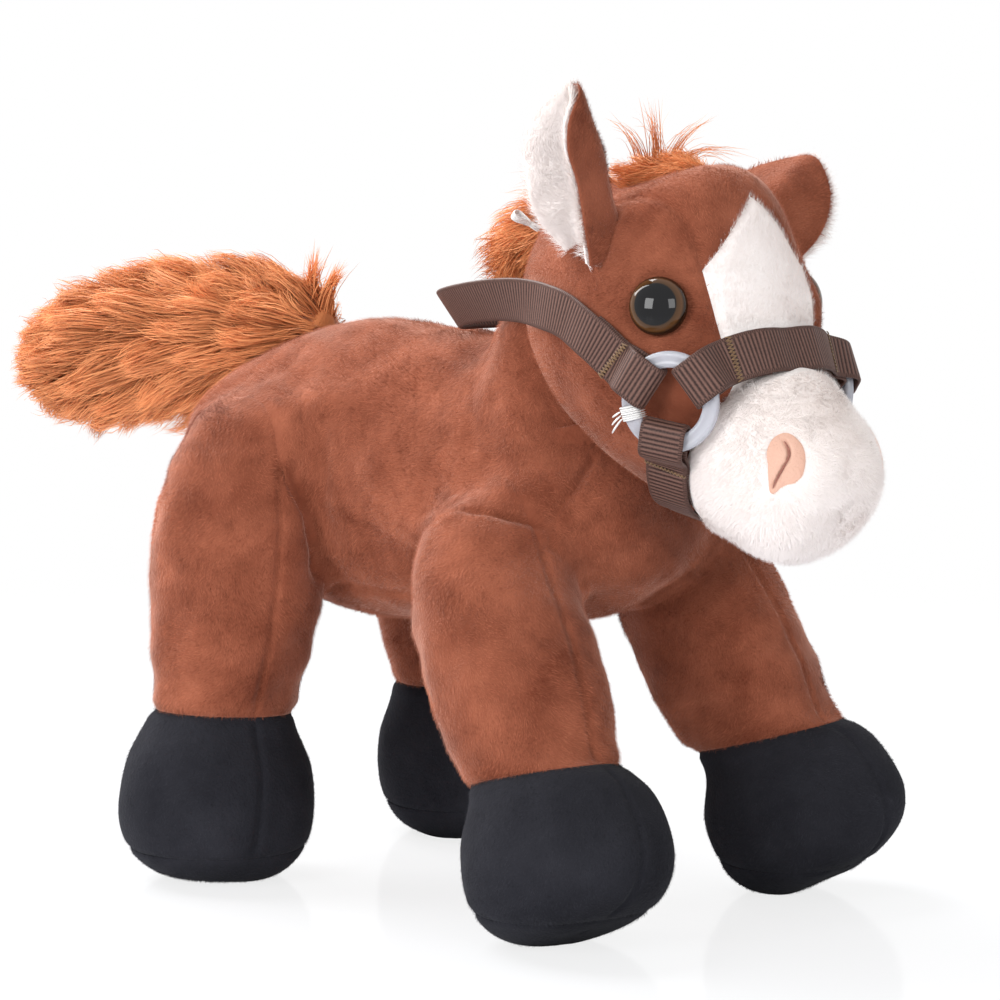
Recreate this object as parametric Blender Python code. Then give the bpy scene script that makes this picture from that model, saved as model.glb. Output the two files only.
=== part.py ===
"""A stuffed toy horse in a ribbon halter: plush panels sewn over fibre filling.

The horse faces -Y and stands on Z = 0. Its right side is at -X. Lengths are in metres. A place is
given as (side, forward, up), from a point between the shoulders' feet. On the head it is (side,
along, rise) instead, measured from the middle of the head along its own axis and square to it. At
the end the whole horse is moved forward, so that the middle of its length is over the origin.
"""

import math

import bmesh
import bpy
import numpy as np
from mathutils import Matrix, Vector
from mathutils.bvhtree import BVHTree

# Cloth and clearances
GAP = 0.0003
PLUSH = 0.0020
FLAT_DEPTH = 0.0005
OVERRUN = 0.060
MIDDLE_BACK = 0.03538
SEAM_GAP = 0.0004

# Torso
TORSO_FRONT = 0.045
TORSO_LENGTH = 0.130
TORSO_HALF_WIDTH = 0.0295
TORSO_HALF_HEIGHT = 0.0340
TORSO_HEIGHT = 0.0890
TORSO_ROUND_SHARE = 0.45
BELLY_PANEL_HALF_WIDTH = 0.0185
BELLY_PANEL_UP = 0.1020
TORSO_SHARES = (
    # along, half width, up, down
    (0.00, 0.96, 0.34, 0.82),
    (0.15, 0.98, 0.46, 0.90),
    (0.35, 0.97, 0.86, 0.95),
    (0.55, 0.95, 0.98, 0.95),
    (0.75, 1.00, 1.04, 0.98),
    (1.00, 1.02, 1.00, 0.92),
)

TORSO_BACK = TORSO_FRONT - TORSO_LENGTH

# Neck
NECK_START_FORWARD = 0.012
NECK_START_UP = 0.086
NECK_END_FORWARD = 0.026
NECK_END_UP = 0.140
NECK_HALF_WIDTH = 0.0235
NECK_HALF_DEPTH = 0.0215
NECK_ROUND_SHARE = 0.45
NECK_SHARES = ((0.0, 1.12, 1.0, 1.1), (0.5, 0.94, 0.84, 1.0), (1.0, 0.85, 0.80, 0.95))

# Head
HEAD_FORWARD = 0.0440
HEAD_UP = 0.1240
HEAD_PITCH_DEG = 32.8
HEAD_BACK = 0.0360
HEAD_LENGTH = 0.0840
HEAD_HALF_WIDTH = 0.0265
HEAD_RISE = 0.0340
HEAD_DROP = 0.0290
HEAD_ROUND_SHARE = 0.70
HEAD_SHARES = (
    # along, half width, rise, drop
    (0.000, 0.80, 0.75, 0.80),
    (0.190, 0.98, 0.80, 0.98),
    (0.333, 1.02, 1.07, 1.00),
    (0.476, 1.00, 1.02, 1.00),
    (0.620, 0.95, 0.74, 1.00),
    (0.714, 0.88, 0.54, 1.00),
    (0.786, 0.83, 0.43, 1.00),
    (1.000, 0.80, 0.38, 1.00),
)
FACE_LEAN_DEG = 30.0
FOREHEAD_HALF_WIDTH = 0.0160
FOREHEAD_BACK_HALF_WIDTH = 0.0120
EAR_SEAM_DOWN = -0.0210
BLAZE_TOP_DOWN = -0.0138
BLAZE_WIDE_DOWN = -0.0012
BLAZE_TIP_HALF_WIDTH = 0.0010
BLAZE_HALF_WIDTH = 0.0152
BLAZE_END_HALF_WIDTH = 0.0110

# Muzzle
MUZZLE_SEAM_ALONG = 0.0295
MUZZLE_START_ALONG = 0.0180
MUZZLE_LENGTH = 0.0405
MUZZLE_RISE = -0.0062
MUZZLE_HALF_WIDTH = 0.0190
MUZZLE_HALF_HEIGHT = 0.0181
MUZZLE_ROUND_SHARE = 0.60
NOSTRIL_HALF_WIDTH = 0.0035
NOSTRIL_HALF_HEIGHT = 0.0062
NOSTRIL_YAW_DEG = 45.0
NOSTRIL_UP = 0.0010
NOSTRIL_THICKNESS = 0.0008

# Eyes
EYE_DIAMETER = 0.0120
EYE_DOME = 0.0040
EYE_ALONG = 0.0108
EYE_RISE = 0.0137
SHANK_DIAMETER = 0.0030
SHANK_LENGTH = 0.0090
WASHER_DIAMETER = 0.0100
WASHER_THICKNESS = 0.0012
WASHER_DEPTH = 0.0044
SHANK_CLEARANCE = 0.0001
EYE_SINK = 0.0009
EYE_RIM = 0.0006
NORMAL_STEP = 0.0020

# Ears
EAR_LENGTH = 0.0360
EAR_FRONT_WIDTH = 0.0150
EAR_BACK_WIDTH = 0.0175
EAR_FOLD_RADIUS = 0.0050
EAR_FOLD_DEG = 60.0
EAR_CLOTH = 0.0016
EAR_RIM = 0.0008
EAR_BASE_SIDE = 0.0150
EAR_BASE_FORWARD = 0.0450
EAR_BASE_UP = 0.1410
EAR_LEAN_DEG = 22.0
EAR_TURN_DEG = 28.0
LEFT_EAR_DROP_DEG = 36.0
LEFT_EAR_FOLD_DEG = 30.0
EAR_SHARES = (
    # along, front width, back width
    (0.00, 0.74, 0.74),
    (0.25, 0.97, 0.97),
    (0.50, 1.00, 1.00),
    (0.75, 0.80, 0.97),
    (0.90, 0.52, 0.82),
    (1.00, 0.20, 0.45),
)

# Mane, forelock and tail
MANE_TOP_FORWARD = 0.0340
MANE_TOP_UP = 0.1500
MANE_END_FORWARD = -0.0020
MANE_END_UP = 0.1310
MANE_HALF_WIDTH = 0.0080
MANE_HALF_DEPTH = 0.0080
MANE_BOW = 0.0050
HAIR_ROUND_SHARE = 0.50
FORELOCK_BACK_FORWARD = 0.0320
FORELOCK_FRONT_FORWARD = 0.0550
FORELOCK_UP = 0.1580
FORELOCK_HALF_WIDTH = 0.0100
FORELOCK_HALF_DEPTH = 0.0060
TAIL_ROOT_INSET = 0.0250
TAIL_ROOT_RISE = 0.0310
TAIL_LENGTH = 0.1045
TAIL_DROP = 0.0130
TAIL_BOW = 0.0030
TAIL_HALF_WIDTH = 0.0150
TAIL_HALF_DEPTH = 0.0180
TAIL_ROUND_SHARE = 0.40
TAIL_SHARES = (
    (0.00, 0.70, 0.80, 0.80),
    (0.30, 0.95, 0.95, 1.05),
    (0.75, 1.00, 1.00, 1.10),
    (1.00, 0.95, 0.95, 0.90),
)

EVEN_SHARES = ((0.0, 1.0, 1.0, 1.0), (1.0, 1.0, 1.0, 1.0))

# Legs: the front pair leans forward, the hind pair stands straight and wide
HOOF_RADIUS = 0.0218
FRONT_TOP_SIDE = 0.0285
FRONT_TOP_FORWARD = 0.0135
FRONT_TOP_DROP = 0.0110
FRONT_FOOT_SIDE = 0.0400
FRONT_FOOT_FORWARD = 0.0575
HIND_TOP_SIDE = 0.0290
HIND_TOP_INSET = 0.0290
HIND_TOP_RISE = 0.0130
HIND_FOOT_SIDE = 0.0420
HIND_FOOT_INSET = 0.0310
LEG_ROUND_SHARE = 0.42
FRONT_SEAM_SHARE = 0.630
HIND_SEAM_SHARE = 0.635
SEAM_LEVEL_SHARE = 0.50
SOLE_HEIGHT = 0.0075
FRONT_SHARES = (
    # along, half width, front, back, all as shares of the hoof's radius
    (0.00, 0.80, 0.82, 0.80),
    (0.25, 0.86, 0.86, 0.86),
    (0.50, 0.80, 0.80, 0.80),
    (0.65, 0.75, 0.75, 0.75),
    (0.75, 1.00, 1.00, 1.00),
    (0.83, 1.12, 1.12, 1.12),
    (0.90, 1.18, 1.18, 1.18),
    (0.96, 1.16, 1.16, 1.16),
    (1.00, 1.08, 1.08, 1.08),
)
HIND_SHARES = (
    (0.00, 0.80, 0.95, 0.85),
    (0.25, 0.86, 1.05, 0.95),
    (0.50, 0.78, 0.88, 0.80),
    (0.65, 0.75, 0.75, 0.75),
    (0.75, 1.00, 1.00, 1.00),
    (0.83, 1.12, 1.12, 1.12),
    (0.90, 1.18, 1.18, 1.18),
    (0.96, 1.16, 1.16, 1.16),
    (1.00, 1.08, 1.08, 1.08),
)

# Halter
RIBBON_WIDTH = 0.0095
RIBBON_THICKNESS = 0.0008
RIBBON_CLEARANCE = 0.0005
RING_DIAMETER = 0.0205
RING_BAR_WIDTH = 0.0034
RING_BAR_THICKNESS = 0.0022
RING_ALONG = 0.0242
RING_STANDOFF = 0.0034
RING_EDGE_SHARE = 0.85
GATHER_SHARE = 0.62
FOLD_LENGTH = 0.0100
FOLD_END = 0.0060
BAND_FORWARD = 0.0042
CHIN_FORWARD = 0.0060
BAND_START_DEG = 34.0
CROWN_LOOP_FORWARD = -0.0150
CROWN_LOOP_UP = 0.1256
CROWN_LEAN_DEG = 40.0
CROWN_TWIST_SHARE = -0.45
CROWN_LEAVE = 0.0180
CROWN_ARRIVE = 0.0180
CROWN_SHARES = (
    # step, along and rise as shares of the head's length
    (0.00, 0.135, 0.005),
    (0.40, 0.020, 0.010),
    (0.75, -0.100, -0.010),
    (1.00, -0.190, -0.050),
)
TIE_DEG = -130.0
TIE_WIDTH = 0.0032
TIE_THICKNESS = 0.0006
TAG_WIDTH = 0.0027
TAG_THICKNESS = 0.0008
TAG_LENGTH = 0.0065
TAG_HALF_OPENING = 0.0010
TAG_SIDE = -0.0105
TAG_ALONG = -0.0310
TAG_RISE = 0.0020

# Joints
HEAD_TURN_FORWARD = 0.0240
HEAD_TURN_UP = 0.1260
TURN_DEG = 8.0
HULL_DEG = 1.0
LEG_SWING_DEG = 12.0
TAIL_SWING_DEG = 15.0
EAR_SWING_DEG = 15.0
HIP_DROP = 0.0090
FRONT_HINGE_FORWARD = 0.0160
TAIL_HINGE_INSET = 0.0130


WASHER_DISC = (
    (0, -WASHER_DEPTH),
    (WASHER_DIAMETER / 2, -WASHER_DEPTH),
    (WASHER_DIAMETER / 2, -WASHER_DEPTH - WASHER_THICKNESS),
    (0, -WASHER_DEPTH - WASHER_THICKNESS),
)


def bore_profile(radius, high, low):
    """A straight round tool between two heights."""
    return ((0, high), (radius, high), (radius, low), (0, low))


SHANK_LOW = -EYE_SINK - SHANK_LENGTH
WASHER_LOW = -WASHER_DEPTH - WASHER_THICKNESS
WASHER_BORE = bore_profile(SHANK_DIAMETER / 2 + SHANK_CLEARANCE, 0, SHANK_LOW)
EYE_POCKET = bore_profile(EYE_DIAMETER / 2 + GAP, SHANK_LENGTH, -EYE_SINK - GAP)
SHANK_HOLE = bore_profile(SHANK_DIAMETER / 2 + GAP, SHANK_LENGTH, SHANK_LOW - GAP)
WASHER_ROOM = bore_profile(WASHER_DIAMETER / 2 + GAP, SHANK_LENGTH, WASHER_LOW - GAP)
SHANK_ROOM = bore_profile(SHANK_DIAMETER / 2 + GAP, SHANK_LENGTH, SHANK_LOW - GAP)


def at(side, forward, up):
    """A point from its distance to the horse's left, forward and up."""
    return Vector((side, -forward, up))


PITCH = math.radians(HEAD_PITCH_DEG)
HEAD_MIDDLE = at(0, HEAD_FORWARD, HEAD_UP)
HEAD_AXIS = at(0, math.cos(PITCH), -math.sin(PITCH))
HEAD_CREST = at(0, math.sin(PITCH), math.cos(PITCH))
SIDEWAYS = Vector((1, 0, 0))
UPWARDS = Vector((0, 0, 1))
FORWARDS = Vector((0, -1, 0))
STRAIGHT = Vector((0, 0, 0))


def on_head(side, along, rise):
    """A point from its place along the head's axis and square to it."""
    return HEAD_MIDDLE + SIDEWAYS * side + HEAD_AXIS * along + HEAD_CREST * rise


def table_at(table, places):
    """Reads a table of (place, value, ...) rows at many places, with smooth cubic joins."""
    rows = np.array(table, float)
    marks = rows[:, 0]
    places = np.clip(places, marks[0], marks[-1])
    index = np.clip(np.searchsorted(marks, places, side="right") - 1, 0, len(marks) - 2)
    gap = (marks[index + 1] - marks[index])[:, None]
    part = (places[:, None] - marks[index][:, None]) / gap
    slope = np.gradient(rows[:, 1:], marks, axis=0)
    low = rows[index, 1:] * (1 + 2 * part) + slope[index] * gap * part
    high = rows[index + 1, 1:] * (3 - 2 * part) + slope[index + 1] * gap * (part - 1)
    return low * (1 - part) ** 2 + high * part**2


def mesh_from(points, faces):
    """A mesh whose faces point outwards."""
    mesh = bpy.data.meshes.new("shape")
    mesh.from_pydata([tuple(point) for point in points], [], [tuple(face) for face in faces])
    work = bmesh.new()
    work.from_mesh(mesh)
    bmesh.ops.recalc_face_normals(work, faces=work.faces)
    bmesh.ops.triangulate(work, faces=work.faces)
    work.to_mesh(mesh)
    work.free()
    return mesh


def grown(mesh, distance):
    """Moves every point along its normal, outwards where the distance is positive."""
    work = bmesh.new()
    work.from_mesh(mesh)
    work.normal_update()
    places = [vertex.co + vertex.normal * distance for vertex in work.verts]
    for vertex, place in zip(work.verts, places):
        vertex.co = place
    moved = bpy.data.meshes.new("shape")
    work.to_mesh(moved)
    work.free()
    return moved


def stuffed(start, end, bow, facing, half_width, half_up, half_down, table, round_share, sides, rings):
    """A swelling form along a bowed spine.

    Place t along the spine is (1 - cos a) / 2, where a runs from 0 to pi. The ring there is an
    ellipse whose half sizes are the table's shares of the named ones, times sin(a) to the power
    of the round share, so that both ends close. Its upper half is on the side that facing shows.
    """
    angle = np.linspace(0, math.pi, rings + 1)
    along = (1 - np.cos(angle)) / 2
    closing = np.sin(angle) ** round_share
    shares = table_at(table, along)
    turn = np.linspace(0, 2 * math.pi, sides, endpoint=False)
    points = [start]
    for t, shrink, (wide, up, down) in list(zip(along, closing, shares))[1:-1]:
        centre = start.lerp(end, t) + bow * (4 * t * (1 - t))
        tangent = (end - start + bow * (4 - 8 * t)).normalized()
        across = (SIDEWAYS - tangent * SIDEWAYS.dot(tangent)).normalized()
        crest = tangent.cross(across)
        if crest.dot(facing) < 0:
            crest = -crest
        for a in turn:
            depth = half_up * up if math.sin(a) > 0 else half_down * down
            reach = across * (half_width * wide * math.cos(a)) + crest * (depth * math.sin(a))
            points.append(centre + reach * shrink)
    points.append(end)
    faces = []
    for k in range(sides):
        after = (k + 1) % sides
        faces.append((0, 1 + after, 1 + k))
        last = 1 + (rings - 2) * sides
        faces.append((len(points) - 1, last + k, last + after))
        for ring in range(rings - 2):
            row = 1 + ring * sides
            faces.append((row + k, row + after, row + sides + after, row + sides + k))
    return mesh_from(points, faces)


def combined(mesh, operation, tools):
    """The mesh after a Boolean with each tool mesh in turn."""
    body = bpy.data.objects.new("body", mesh)
    bpy.context.scene.collection.objects.link(body)
    helpers = []
    for tool in tools:
        helper = bpy.data.objects.new("tool", tool)
        bpy.context.scene.collection.objects.link(helper)
        helpers.append(helper)
        step = body.modifiers.new("cut", "BOOLEAN")
        step.operation = operation
        step.solver = "EXACT"
        step.object = helper
    graph = bpy.context.evaluated_depsgraph_get()
    result = bpy.data.meshes.new_from_object(body.evaluated_get(graph))
    for item in [body] + helpers:
        bpy.data.objects.remove(item)
    return result


def less(mesh, *tools):
    return combined(mesh, "DIFFERENCE", tools)


def common(mesh, *tools):
    return combined(mesh, "INTERSECT", tools)


def main_body(mesh):
    """Drops the crumbs that a cut leaves beside the piece."""
    work = bmesh.new()
    work.from_mesh(mesh)
    bmesh.ops.triangulate(work, faces=work.faces)
    work.verts.ensure_lookup_table()
    seen = set()
    groups = []
    for first in work.verts:
        if first in seen:
            continue
        group = {first}
        stack = [first]
        while stack:
            for edge in stack.pop().link_edges:
                for vertex in edge.verts:
                    if vertex not in group:
                        group.add(vertex)
                        stack.append(vertex)
        seen |= group
        groups.append(group)
    largest = max(groups, key=len)
    bmesh.ops.delete(work, geom=[v for v in work.verts if v not in largest], context="VERTS")
    kept = bpy.data.meshes.new("shape")
    work.to_mesh(kept)
    work.free()
    return kept


def turned(mesh, pivot, axis, degrees):
    """A copy of the mesh, turned about an axis through the pivot."""
    copy = mesh.copy()
    spin = Matrix.Rotation(math.radians(degrees), 4, axis)
    copy.transform(Matrix.Translation(pivot) @ spin @ Matrix.Translation(-pivot))
    return copy


def mirrored(mesh):
    """A copy on the horse's other side."""
    copy = mesh.copy()
    copy.transform(Matrix.Scale(-1, 4, SIDEWAYS))
    copy.flip_normals()
    return copy


def swept(mesh, pivot, axis, low, high, steps=2):
    """Copies of the mesh at steps of a joint's range, as one cutter each."""
    return [turned(mesh, pivot, axis, low + (high - low) * k / steps) for k in range(steps + 1)]


def prism(outline, origin, right, up, outwards, near, far):
    """An outline of (right, up) points, drawn out along a direction from near to far."""
    points = []
    for reach in (near, far):
        for across, rise in outline:
            points.append(origin + right * across + up * rise + outwards * reach)
    count = len(outline)
    faces = [tuple(range(count)), tuple(range(count, 2 * count))]
    for k in range(count):
        after = (k + 1) % count
        faces.append((k, after, count + after, count + k))
    return mesh_from(points, faces)


def half_space(origin, normal):
    """A large block on the side of a plane that its normal points to."""
    right = normal.orthogonal().normalized()
    up = normal.cross(right)
    far = 3 * OVERRUN
    square = ((-far, -far), (far, -far), (far, far), (-far, far))
    return prism(square, origin, right, up, normal, 0, far)


def material(name, colour, roughness, metallic=0.0):
    finish = bpy.data.materials.new(name)
    finish.use_nodes = True
    shader = finish.node_tree.nodes["Principled BSDF"]
    shader.inputs["Base Color"].default_value = (*colour, 1)
    shader.inputs["Roughness"].default_value = roughness
    shader.inputs["Metallic"].default_value = metallic
    return finish


def empty(name, place, parent=None):
    """A parent for the pieces that move together, on their joint's axis."""
    mark = bpy.data.objects.new(name, None)
    bpy.context.scene.collection.objects.link(mark)
    mark.parent = parent
    mark.location = place - (world_place(parent) if parent else Vector((0, 0, 0)))
    return mark


def world_place(item):
    place = Vector(item.location)
    while item.parent:
        item = item.parent
        place += item.location
    return place


def piece(name, mesh, finish, parent=None):
    """A named piece, held by its joint's empty."""
    mesh = main_body(mesh)
    mesh.name = name
    if parent:
        mesh.transform(Matrix.Translation(-world_place(parent)))
    mesh.materials.clear()
    mesh.materials.append(finish)
    mesh.shade_smooth()
    mesh.set_sharp_from_angle(angle=math.radians(40))
    item = bpy.data.objects.new(name, mesh)
    bpy.context.scene.collection.objects.link(item)
    item.parent = parent
    return item


for old in list(bpy.data.objects):
    bpy.data.objects.remove(old)

BROWN = material("brown_plush", (0.320, 0.105, 0.064), 0.95)
WHITE = material("white_plush", (0.930, 0.870, 0.850), 0.95)
BLACK = material("black_plush", (0.030, 0.030, 0.035), 0.95)
PILE = material("long_pile", (0.560, 0.185, 0.078), 0.90)
PEACH = material("peach_plush", (0.940, 0.610, 0.490), 0.95)
FIBRE = material("fibre_filling", (0.800, 0.800, 0.780), 1.00)
RIBBON = material("brown_ribbon", (0.120, 0.066, 0.052), 0.70)
RING = material("white_plastic", (0.850, 0.870, 0.890), 0.25)
THREAD = material("white_thread", (0.850, 0.830, 0.800), 0.80)
EYE = material("glossy_eye", (0.015, 0.010, 0.008), 0.05)
WASHER = material("washer_plastic", (0.600, 0.600, 0.620), 0.40)

turn_point = at(0, HEAD_TURN_FORWARD, HEAD_TURN_UP)
head_joint = empty("head_joint", turn_point)
tail_hinge = at(0, TORSO_BACK + TAIL_HINGE_INSET, TORSO_HEIGHT + TAIL_ROOT_RISE)
tail_joint = empty("tail_joint", tail_hinge)
ground = half_space(Vector((0, 0, 0)), -UPWARDS)


def torso_form(sides, rings):
    front = at(0, TORSO_FRONT, TORSO_HEIGHT)
    back = at(0, TORSO_BACK, TORSO_HEIGHT)
    half = (TORSO_HALF_WIDTH, TORSO_HALF_HEIGHT, TORSO_HALF_HEIGHT)
    return stuffed(front, back, STRAIGHT, UPWARDS, *half, TORSO_SHARES, TORSO_ROUND_SHARE, sides, rings)


def neck_form(sides, rings):
    low = at(0, NECK_START_FORWARD, NECK_START_UP)
    high = at(0, NECK_END_FORWARD, NECK_END_UP)
    half = (NECK_HALF_WIDTH, NECK_HALF_DEPTH, NECK_HALF_DEPTH)
    return stuffed(low, high, STRAIGHT, UPWARDS, *half, NECK_SHARES, NECK_ROUND_SHARE, sides, rings)


def head_form(sides, rings):
    back = on_head(0, -HEAD_BACK, 0)
    front = on_head(0, HEAD_LENGTH - HEAD_BACK, 0)
    half = (HEAD_HALF_WIDTH, HEAD_RISE, HEAD_DROP)
    return stuffed(back, front, STRAIGHT, UPWARDS, *half, HEAD_SHARES, HEAD_ROUND_SHARE, sides, rings)


def muzzle_form(sides, rings):
    back = on_head(0, MUZZLE_START_ALONG, MUZZLE_RISE)
    front = on_head(0, MUZZLE_START_ALONG + MUZZLE_LENGTH, MUZZLE_RISE)
    half = (MUZZLE_HALF_WIDTH, MUZZLE_HALF_HEIGHT, MUZZLE_HALF_HEIGHT)
    return stuffed(back, front, STRAIGHT, UPWARDS, *half, EVEN_SHARES, MUZZLE_ROUND_SHARE, sides, rings)


torso_envelope = grown(torso_form(20, 14), GAP)
head_envelope = grown(head_form(20, 14), GAP)
neck_envelope = grown(neck_form(16, 10), GAP)


def head_room(distance):
    """The space that the turning head takes, grown by a distance.

    It is the convex hull of the head at steps of its turn, with its flattest edges dissolved.
    """
    work = bmesh.new()
    for mesh in swept(head_form(20, 14), turn_point, UPWARDS, -TURN_DEG, TURN_DEG, 4):
        work.from_mesh(mesh)
    hull = bmesh.ops.convex_hull(work, input=work.verts)
    inside = hull["geom_interior"] + hull["geom_unused"]
    spare = list({v for v in inside if isinstance(v, bmesh.types.BMVert)})
    bmesh.ops.delete(work, geom=spare, context="VERTS")
    kept = set(hull["geom"])
    bmesh.ops.delete(work, geom=[face for face in work.faces if face not in kept], context="FACES")
    bmesh.ops.dissolve_limit(work, angle_limit=math.radians(HULL_DEG), verts=work.verts, edges=work.edges)
    bmesh.ops.triangulate(work, faces=work.faces)
    room = bpy.data.meshes.new("shape")
    work.to_mesh(room)
    work.free()
    return grown(room, distance)


def make_torso():
    inner = torso_form(12, 8)
    outer = less(torso_form(20, 14), head_room(GAP))
    hollow = less(grown(inner, -PLUSH), head_room(GAP + PLUSH))
    middle = at(0, 0, BELLY_PANEL_UP)
    width = BELLY_PANEL_HALF_WIDTH
    long = TORSO_LENGTH
    square = ((-width, -long), (width, -long), (width, long), (-width, long))
    wide = width + SEAM_GAP
    room = ((-wide, -long), (wide, -long), (wide, long), (-wide, long))
    panel = prism(square, middle, SIDEWAYS, FORWARDS, -UPWARDS, 0, OVERRUN)
    cleared = prism(room, middle, SIDEWAYS, FORWARDS, -UPWARDS, -SEAM_GAP, OVERRUN)
    piece("belly_panel", less(common(outer, panel), hollow), BROWN)
    middle_plane = half_space(SIDEWAYS * (-SEAM_GAP / 2), SIDEWAYS)
    side = main_body(less(outer, middle_plane, cleared, hollow))
    piece("torso_side_right", side, BROWN)
    piece("torso_side_left", mirrored(side), BROWN)
    filling = less(grown(inner, -PLUSH - GAP), head_room(2 * GAP + PLUSH))
    piece("torso_filling", filling, FIBRE)


def make_neck():
    inner = neck_form(12, 6)
    around = (torso_envelope, head_room(GAP))
    sleeve = less(neck_form(16, 10), grown(inner, -PLUSH))
    piece("neck_skin", less(sleeve, *around), BROWN)
    piece("neck_filling", less(grown(inner, -PLUSH - GAP), *around), FIBRE)


def make_head():
    inner = head_form(12, 8)
    seam = on_head(0, MUZZLE_SEAM_ALONG, 0)
    shell = less(head_form(20, 14), grown(inner, -PLUSH), half_space(seam, HEAD_AXIS))
    lean = math.radians(FACE_LEAN_DEG)
    outwards = HEAD_CREST * math.cos(lean) + HEAD_AXIS * math.sin(lean)
    down = HEAD_AXIS * math.cos(lean) - HEAD_CREST * math.sin(lean)

    def face_prism(half_outline, allowance):
        right = [(x + allowance, y) for x, y in half_outline]
        left = [(-x, y) for x, y in reversed(right)]
        return prism(right + left, HEAD_MIDDLE, SIDEWAYS, down, outwards, -allowance, OVERRUN)

    blaze = (
        (BLAZE_TIP_HALF_WIDTH, BLAZE_TOP_DOWN),
        (BLAZE_HALF_WIDTH, BLAZE_WIDE_DOWN),
        (BLAZE_END_HALF_WIDTH, OVERRUN),
    )
    forehead = (
        (FOREHEAD_BACK_HALF_WIDTH, -OVERRUN),
        (FOREHEAD_HALF_WIDTH, EAR_SEAM_DOWN),
        (BLAZE_HALF_WIDTH, BLAZE_WIDE_DOWN),
        (BLAZE_END_HALF_WIDTH, OVERRUN),
    )
    pockets = []
    for side in (-1, 1):
        place, normal = eye_place(side)
        pockets.append(turned_solid(place, normal, EYE_POCKET))
        pockets.append(turned_solid(place, normal, SHANK_HOLE))
    shell = less(shell, *pockets)
    piece("blaze_panel", common(shell, face_prism(blaze, 0)), WHITE, head_joint)
    blaze_room = face_prism(blaze, SEAM_GAP)
    piece("forehead_panel", less(common(shell, face_prism(forehead, 0)), blaze_room), BROWN, head_joint)
    split = half_space(Vector((-SEAM_GAP / 2, 0, 0)), SIDEWAYS)
    cheek = main_body(less(shell, face_prism(forehead, SEAM_GAP), split))
    piece("cheek_panel_right", cheek, BROWN, head_joint)
    piece("cheek_panel_left", mirrored(cheek), BROWN, head_joint)
    filling = less(grown(inner, -PLUSH - GAP), half_space(seam, HEAD_AXIS))
    rooms = []
    for side in (-1, 1):
        place, normal = eye_place(side)
        rooms.append(turned_solid(place, normal, WASHER_ROOM))
        rooms.append(turned_solid(place, normal, SHANK_ROOM))
    piece("head_filling", less(filling, *rooms), FIBRE, head_joint)


def make_muzzle():
    inner = muzzle_form(12, 8)
    behind = half_space(on_head(0, MUZZLE_SEAM_ALONG + SEAM_GAP, 0), -HEAD_AXIS)
    piece("muzzle_skin", less(muzzle_form(18, 10), grown(inner, -PLUSH), behind), WHITE, head_joint)
    piece("muzzle_filling", less(grown(inner, -PLUSH - GAP), behind), FIBRE, head_joint)
    patch = less(grown(muzzle_form(18, 10), GAP + NOSTRIL_THICKNESS), grown(muzzle_form(18, 10), GAP))
    yaw = math.radians(NOSTRIL_YAW_DEG)
    outwards = at(-math.sin(yaw), math.cos(yaw), 0)
    right = at(math.cos(yaw), math.sin(yaw), 0)
    turns = np.linspace(0, 2 * math.pi, 12, endpoint=False)
    leaf = [(NOSTRIL_HALF_WIDTH * math.cos(a), NOSTRIL_HALF_HEIGHT * math.sin(a)) for a in turns]
    middle = on_head(0, MUZZLE_START_ALONG + MUZZLE_LENGTH / 2, MUZZLE_RISE)
    leaf_prism = prism(leaf, middle + UPWARDS * NOSTRIL_UP, right, UPWARDS, outwards, 0, OVERRUN)
    nostril = main_body(common(patch, leaf_prism))
    piece("nostril_patch_right", nostril, PEACH, head_joint)
    piece("nostril_patch_left", mirrored(nostril), PEACH, head_joint)


def turned_solid(place, normal, profile, sides=16):
    """A profile of (radius, height) points, closed on the axis, turned about the normal."""
    right = normal.orthogonal().normalized()
    up = normal.cross(right)
    inner = [height for radius, height in profile if radius == 0]
    points = [place + normal * inner[0]]
    ring_profile = [(radius, height) for radius, height in profile if radius > 0]
    for radius, height in ring_profile:
        for k in range(sides):
            a = 2 * math.pi * k / sides
            points.append(place + normal * height + (right * math.cos(a) + up * math.sin(a)) * radius)
    points.append(place + normal * inner[-1])
    faces = []
    for k in range(sides):
        after = (k + 1) % sides
        faces.append((0, 1 + after, 1 + k))
        last = 1 + (len(ring_profile) - 1) * sides
        faces.append((len(points) - 1, last + k, last + after))
        for ring in range(len(ring_profile) - 1):
            row = 1 + ring * sides
            faces.append((row + k, row + after, row + sides + after, row + sides + k))
    return mesh_from(points, faces)


def tree_of(*meshes):
    """A search tree over the triangles of some meshes."""
    points = []
    faces = []
    for mesh in meshes:
        first = len(points)
        points += [vertex.co.copy() for vertex in mesh.vertices]
        faces += [tuple(first + v for v in polygon.vertices) for polygon in mesh.polygons]
    return BVHTree.FromPolygons(points, faces)


head_tree = tree_of(head_form(40, 40), muzzle_form(40, 40))


def on_surface(target, direction, spread=NORMAL_STEP):
    """The outermost point of the head on the line through a target, and the normal there.

    The normal is that of a cross of two chords, each twice the spread long.
    """
    right = direction.orthogonal().normalized()
    up = direction.cross(right)
    hits = []
    for across, rise in ((0, 0), (1, 0), (-1, 0), (0, 1), (0, -1)):
        start = target + direction * OVERRUN + right * across * spread + up * rise * spread
        hits.append(head_tree.ray_cast(start, -direction)[0])
    if None in hits:
        return hits[0], direction
    normal = (hits[1] - hits[2]).cross(hits[3] - hits[4]).normalized()
    return hits[0], normal if normal.dot(direction) > 0 else -normal


def eye_place(side):
    return on_surface(on_head(0, EYE_ALONG, EYE_RISE), SIDEWAYS * side)


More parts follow.
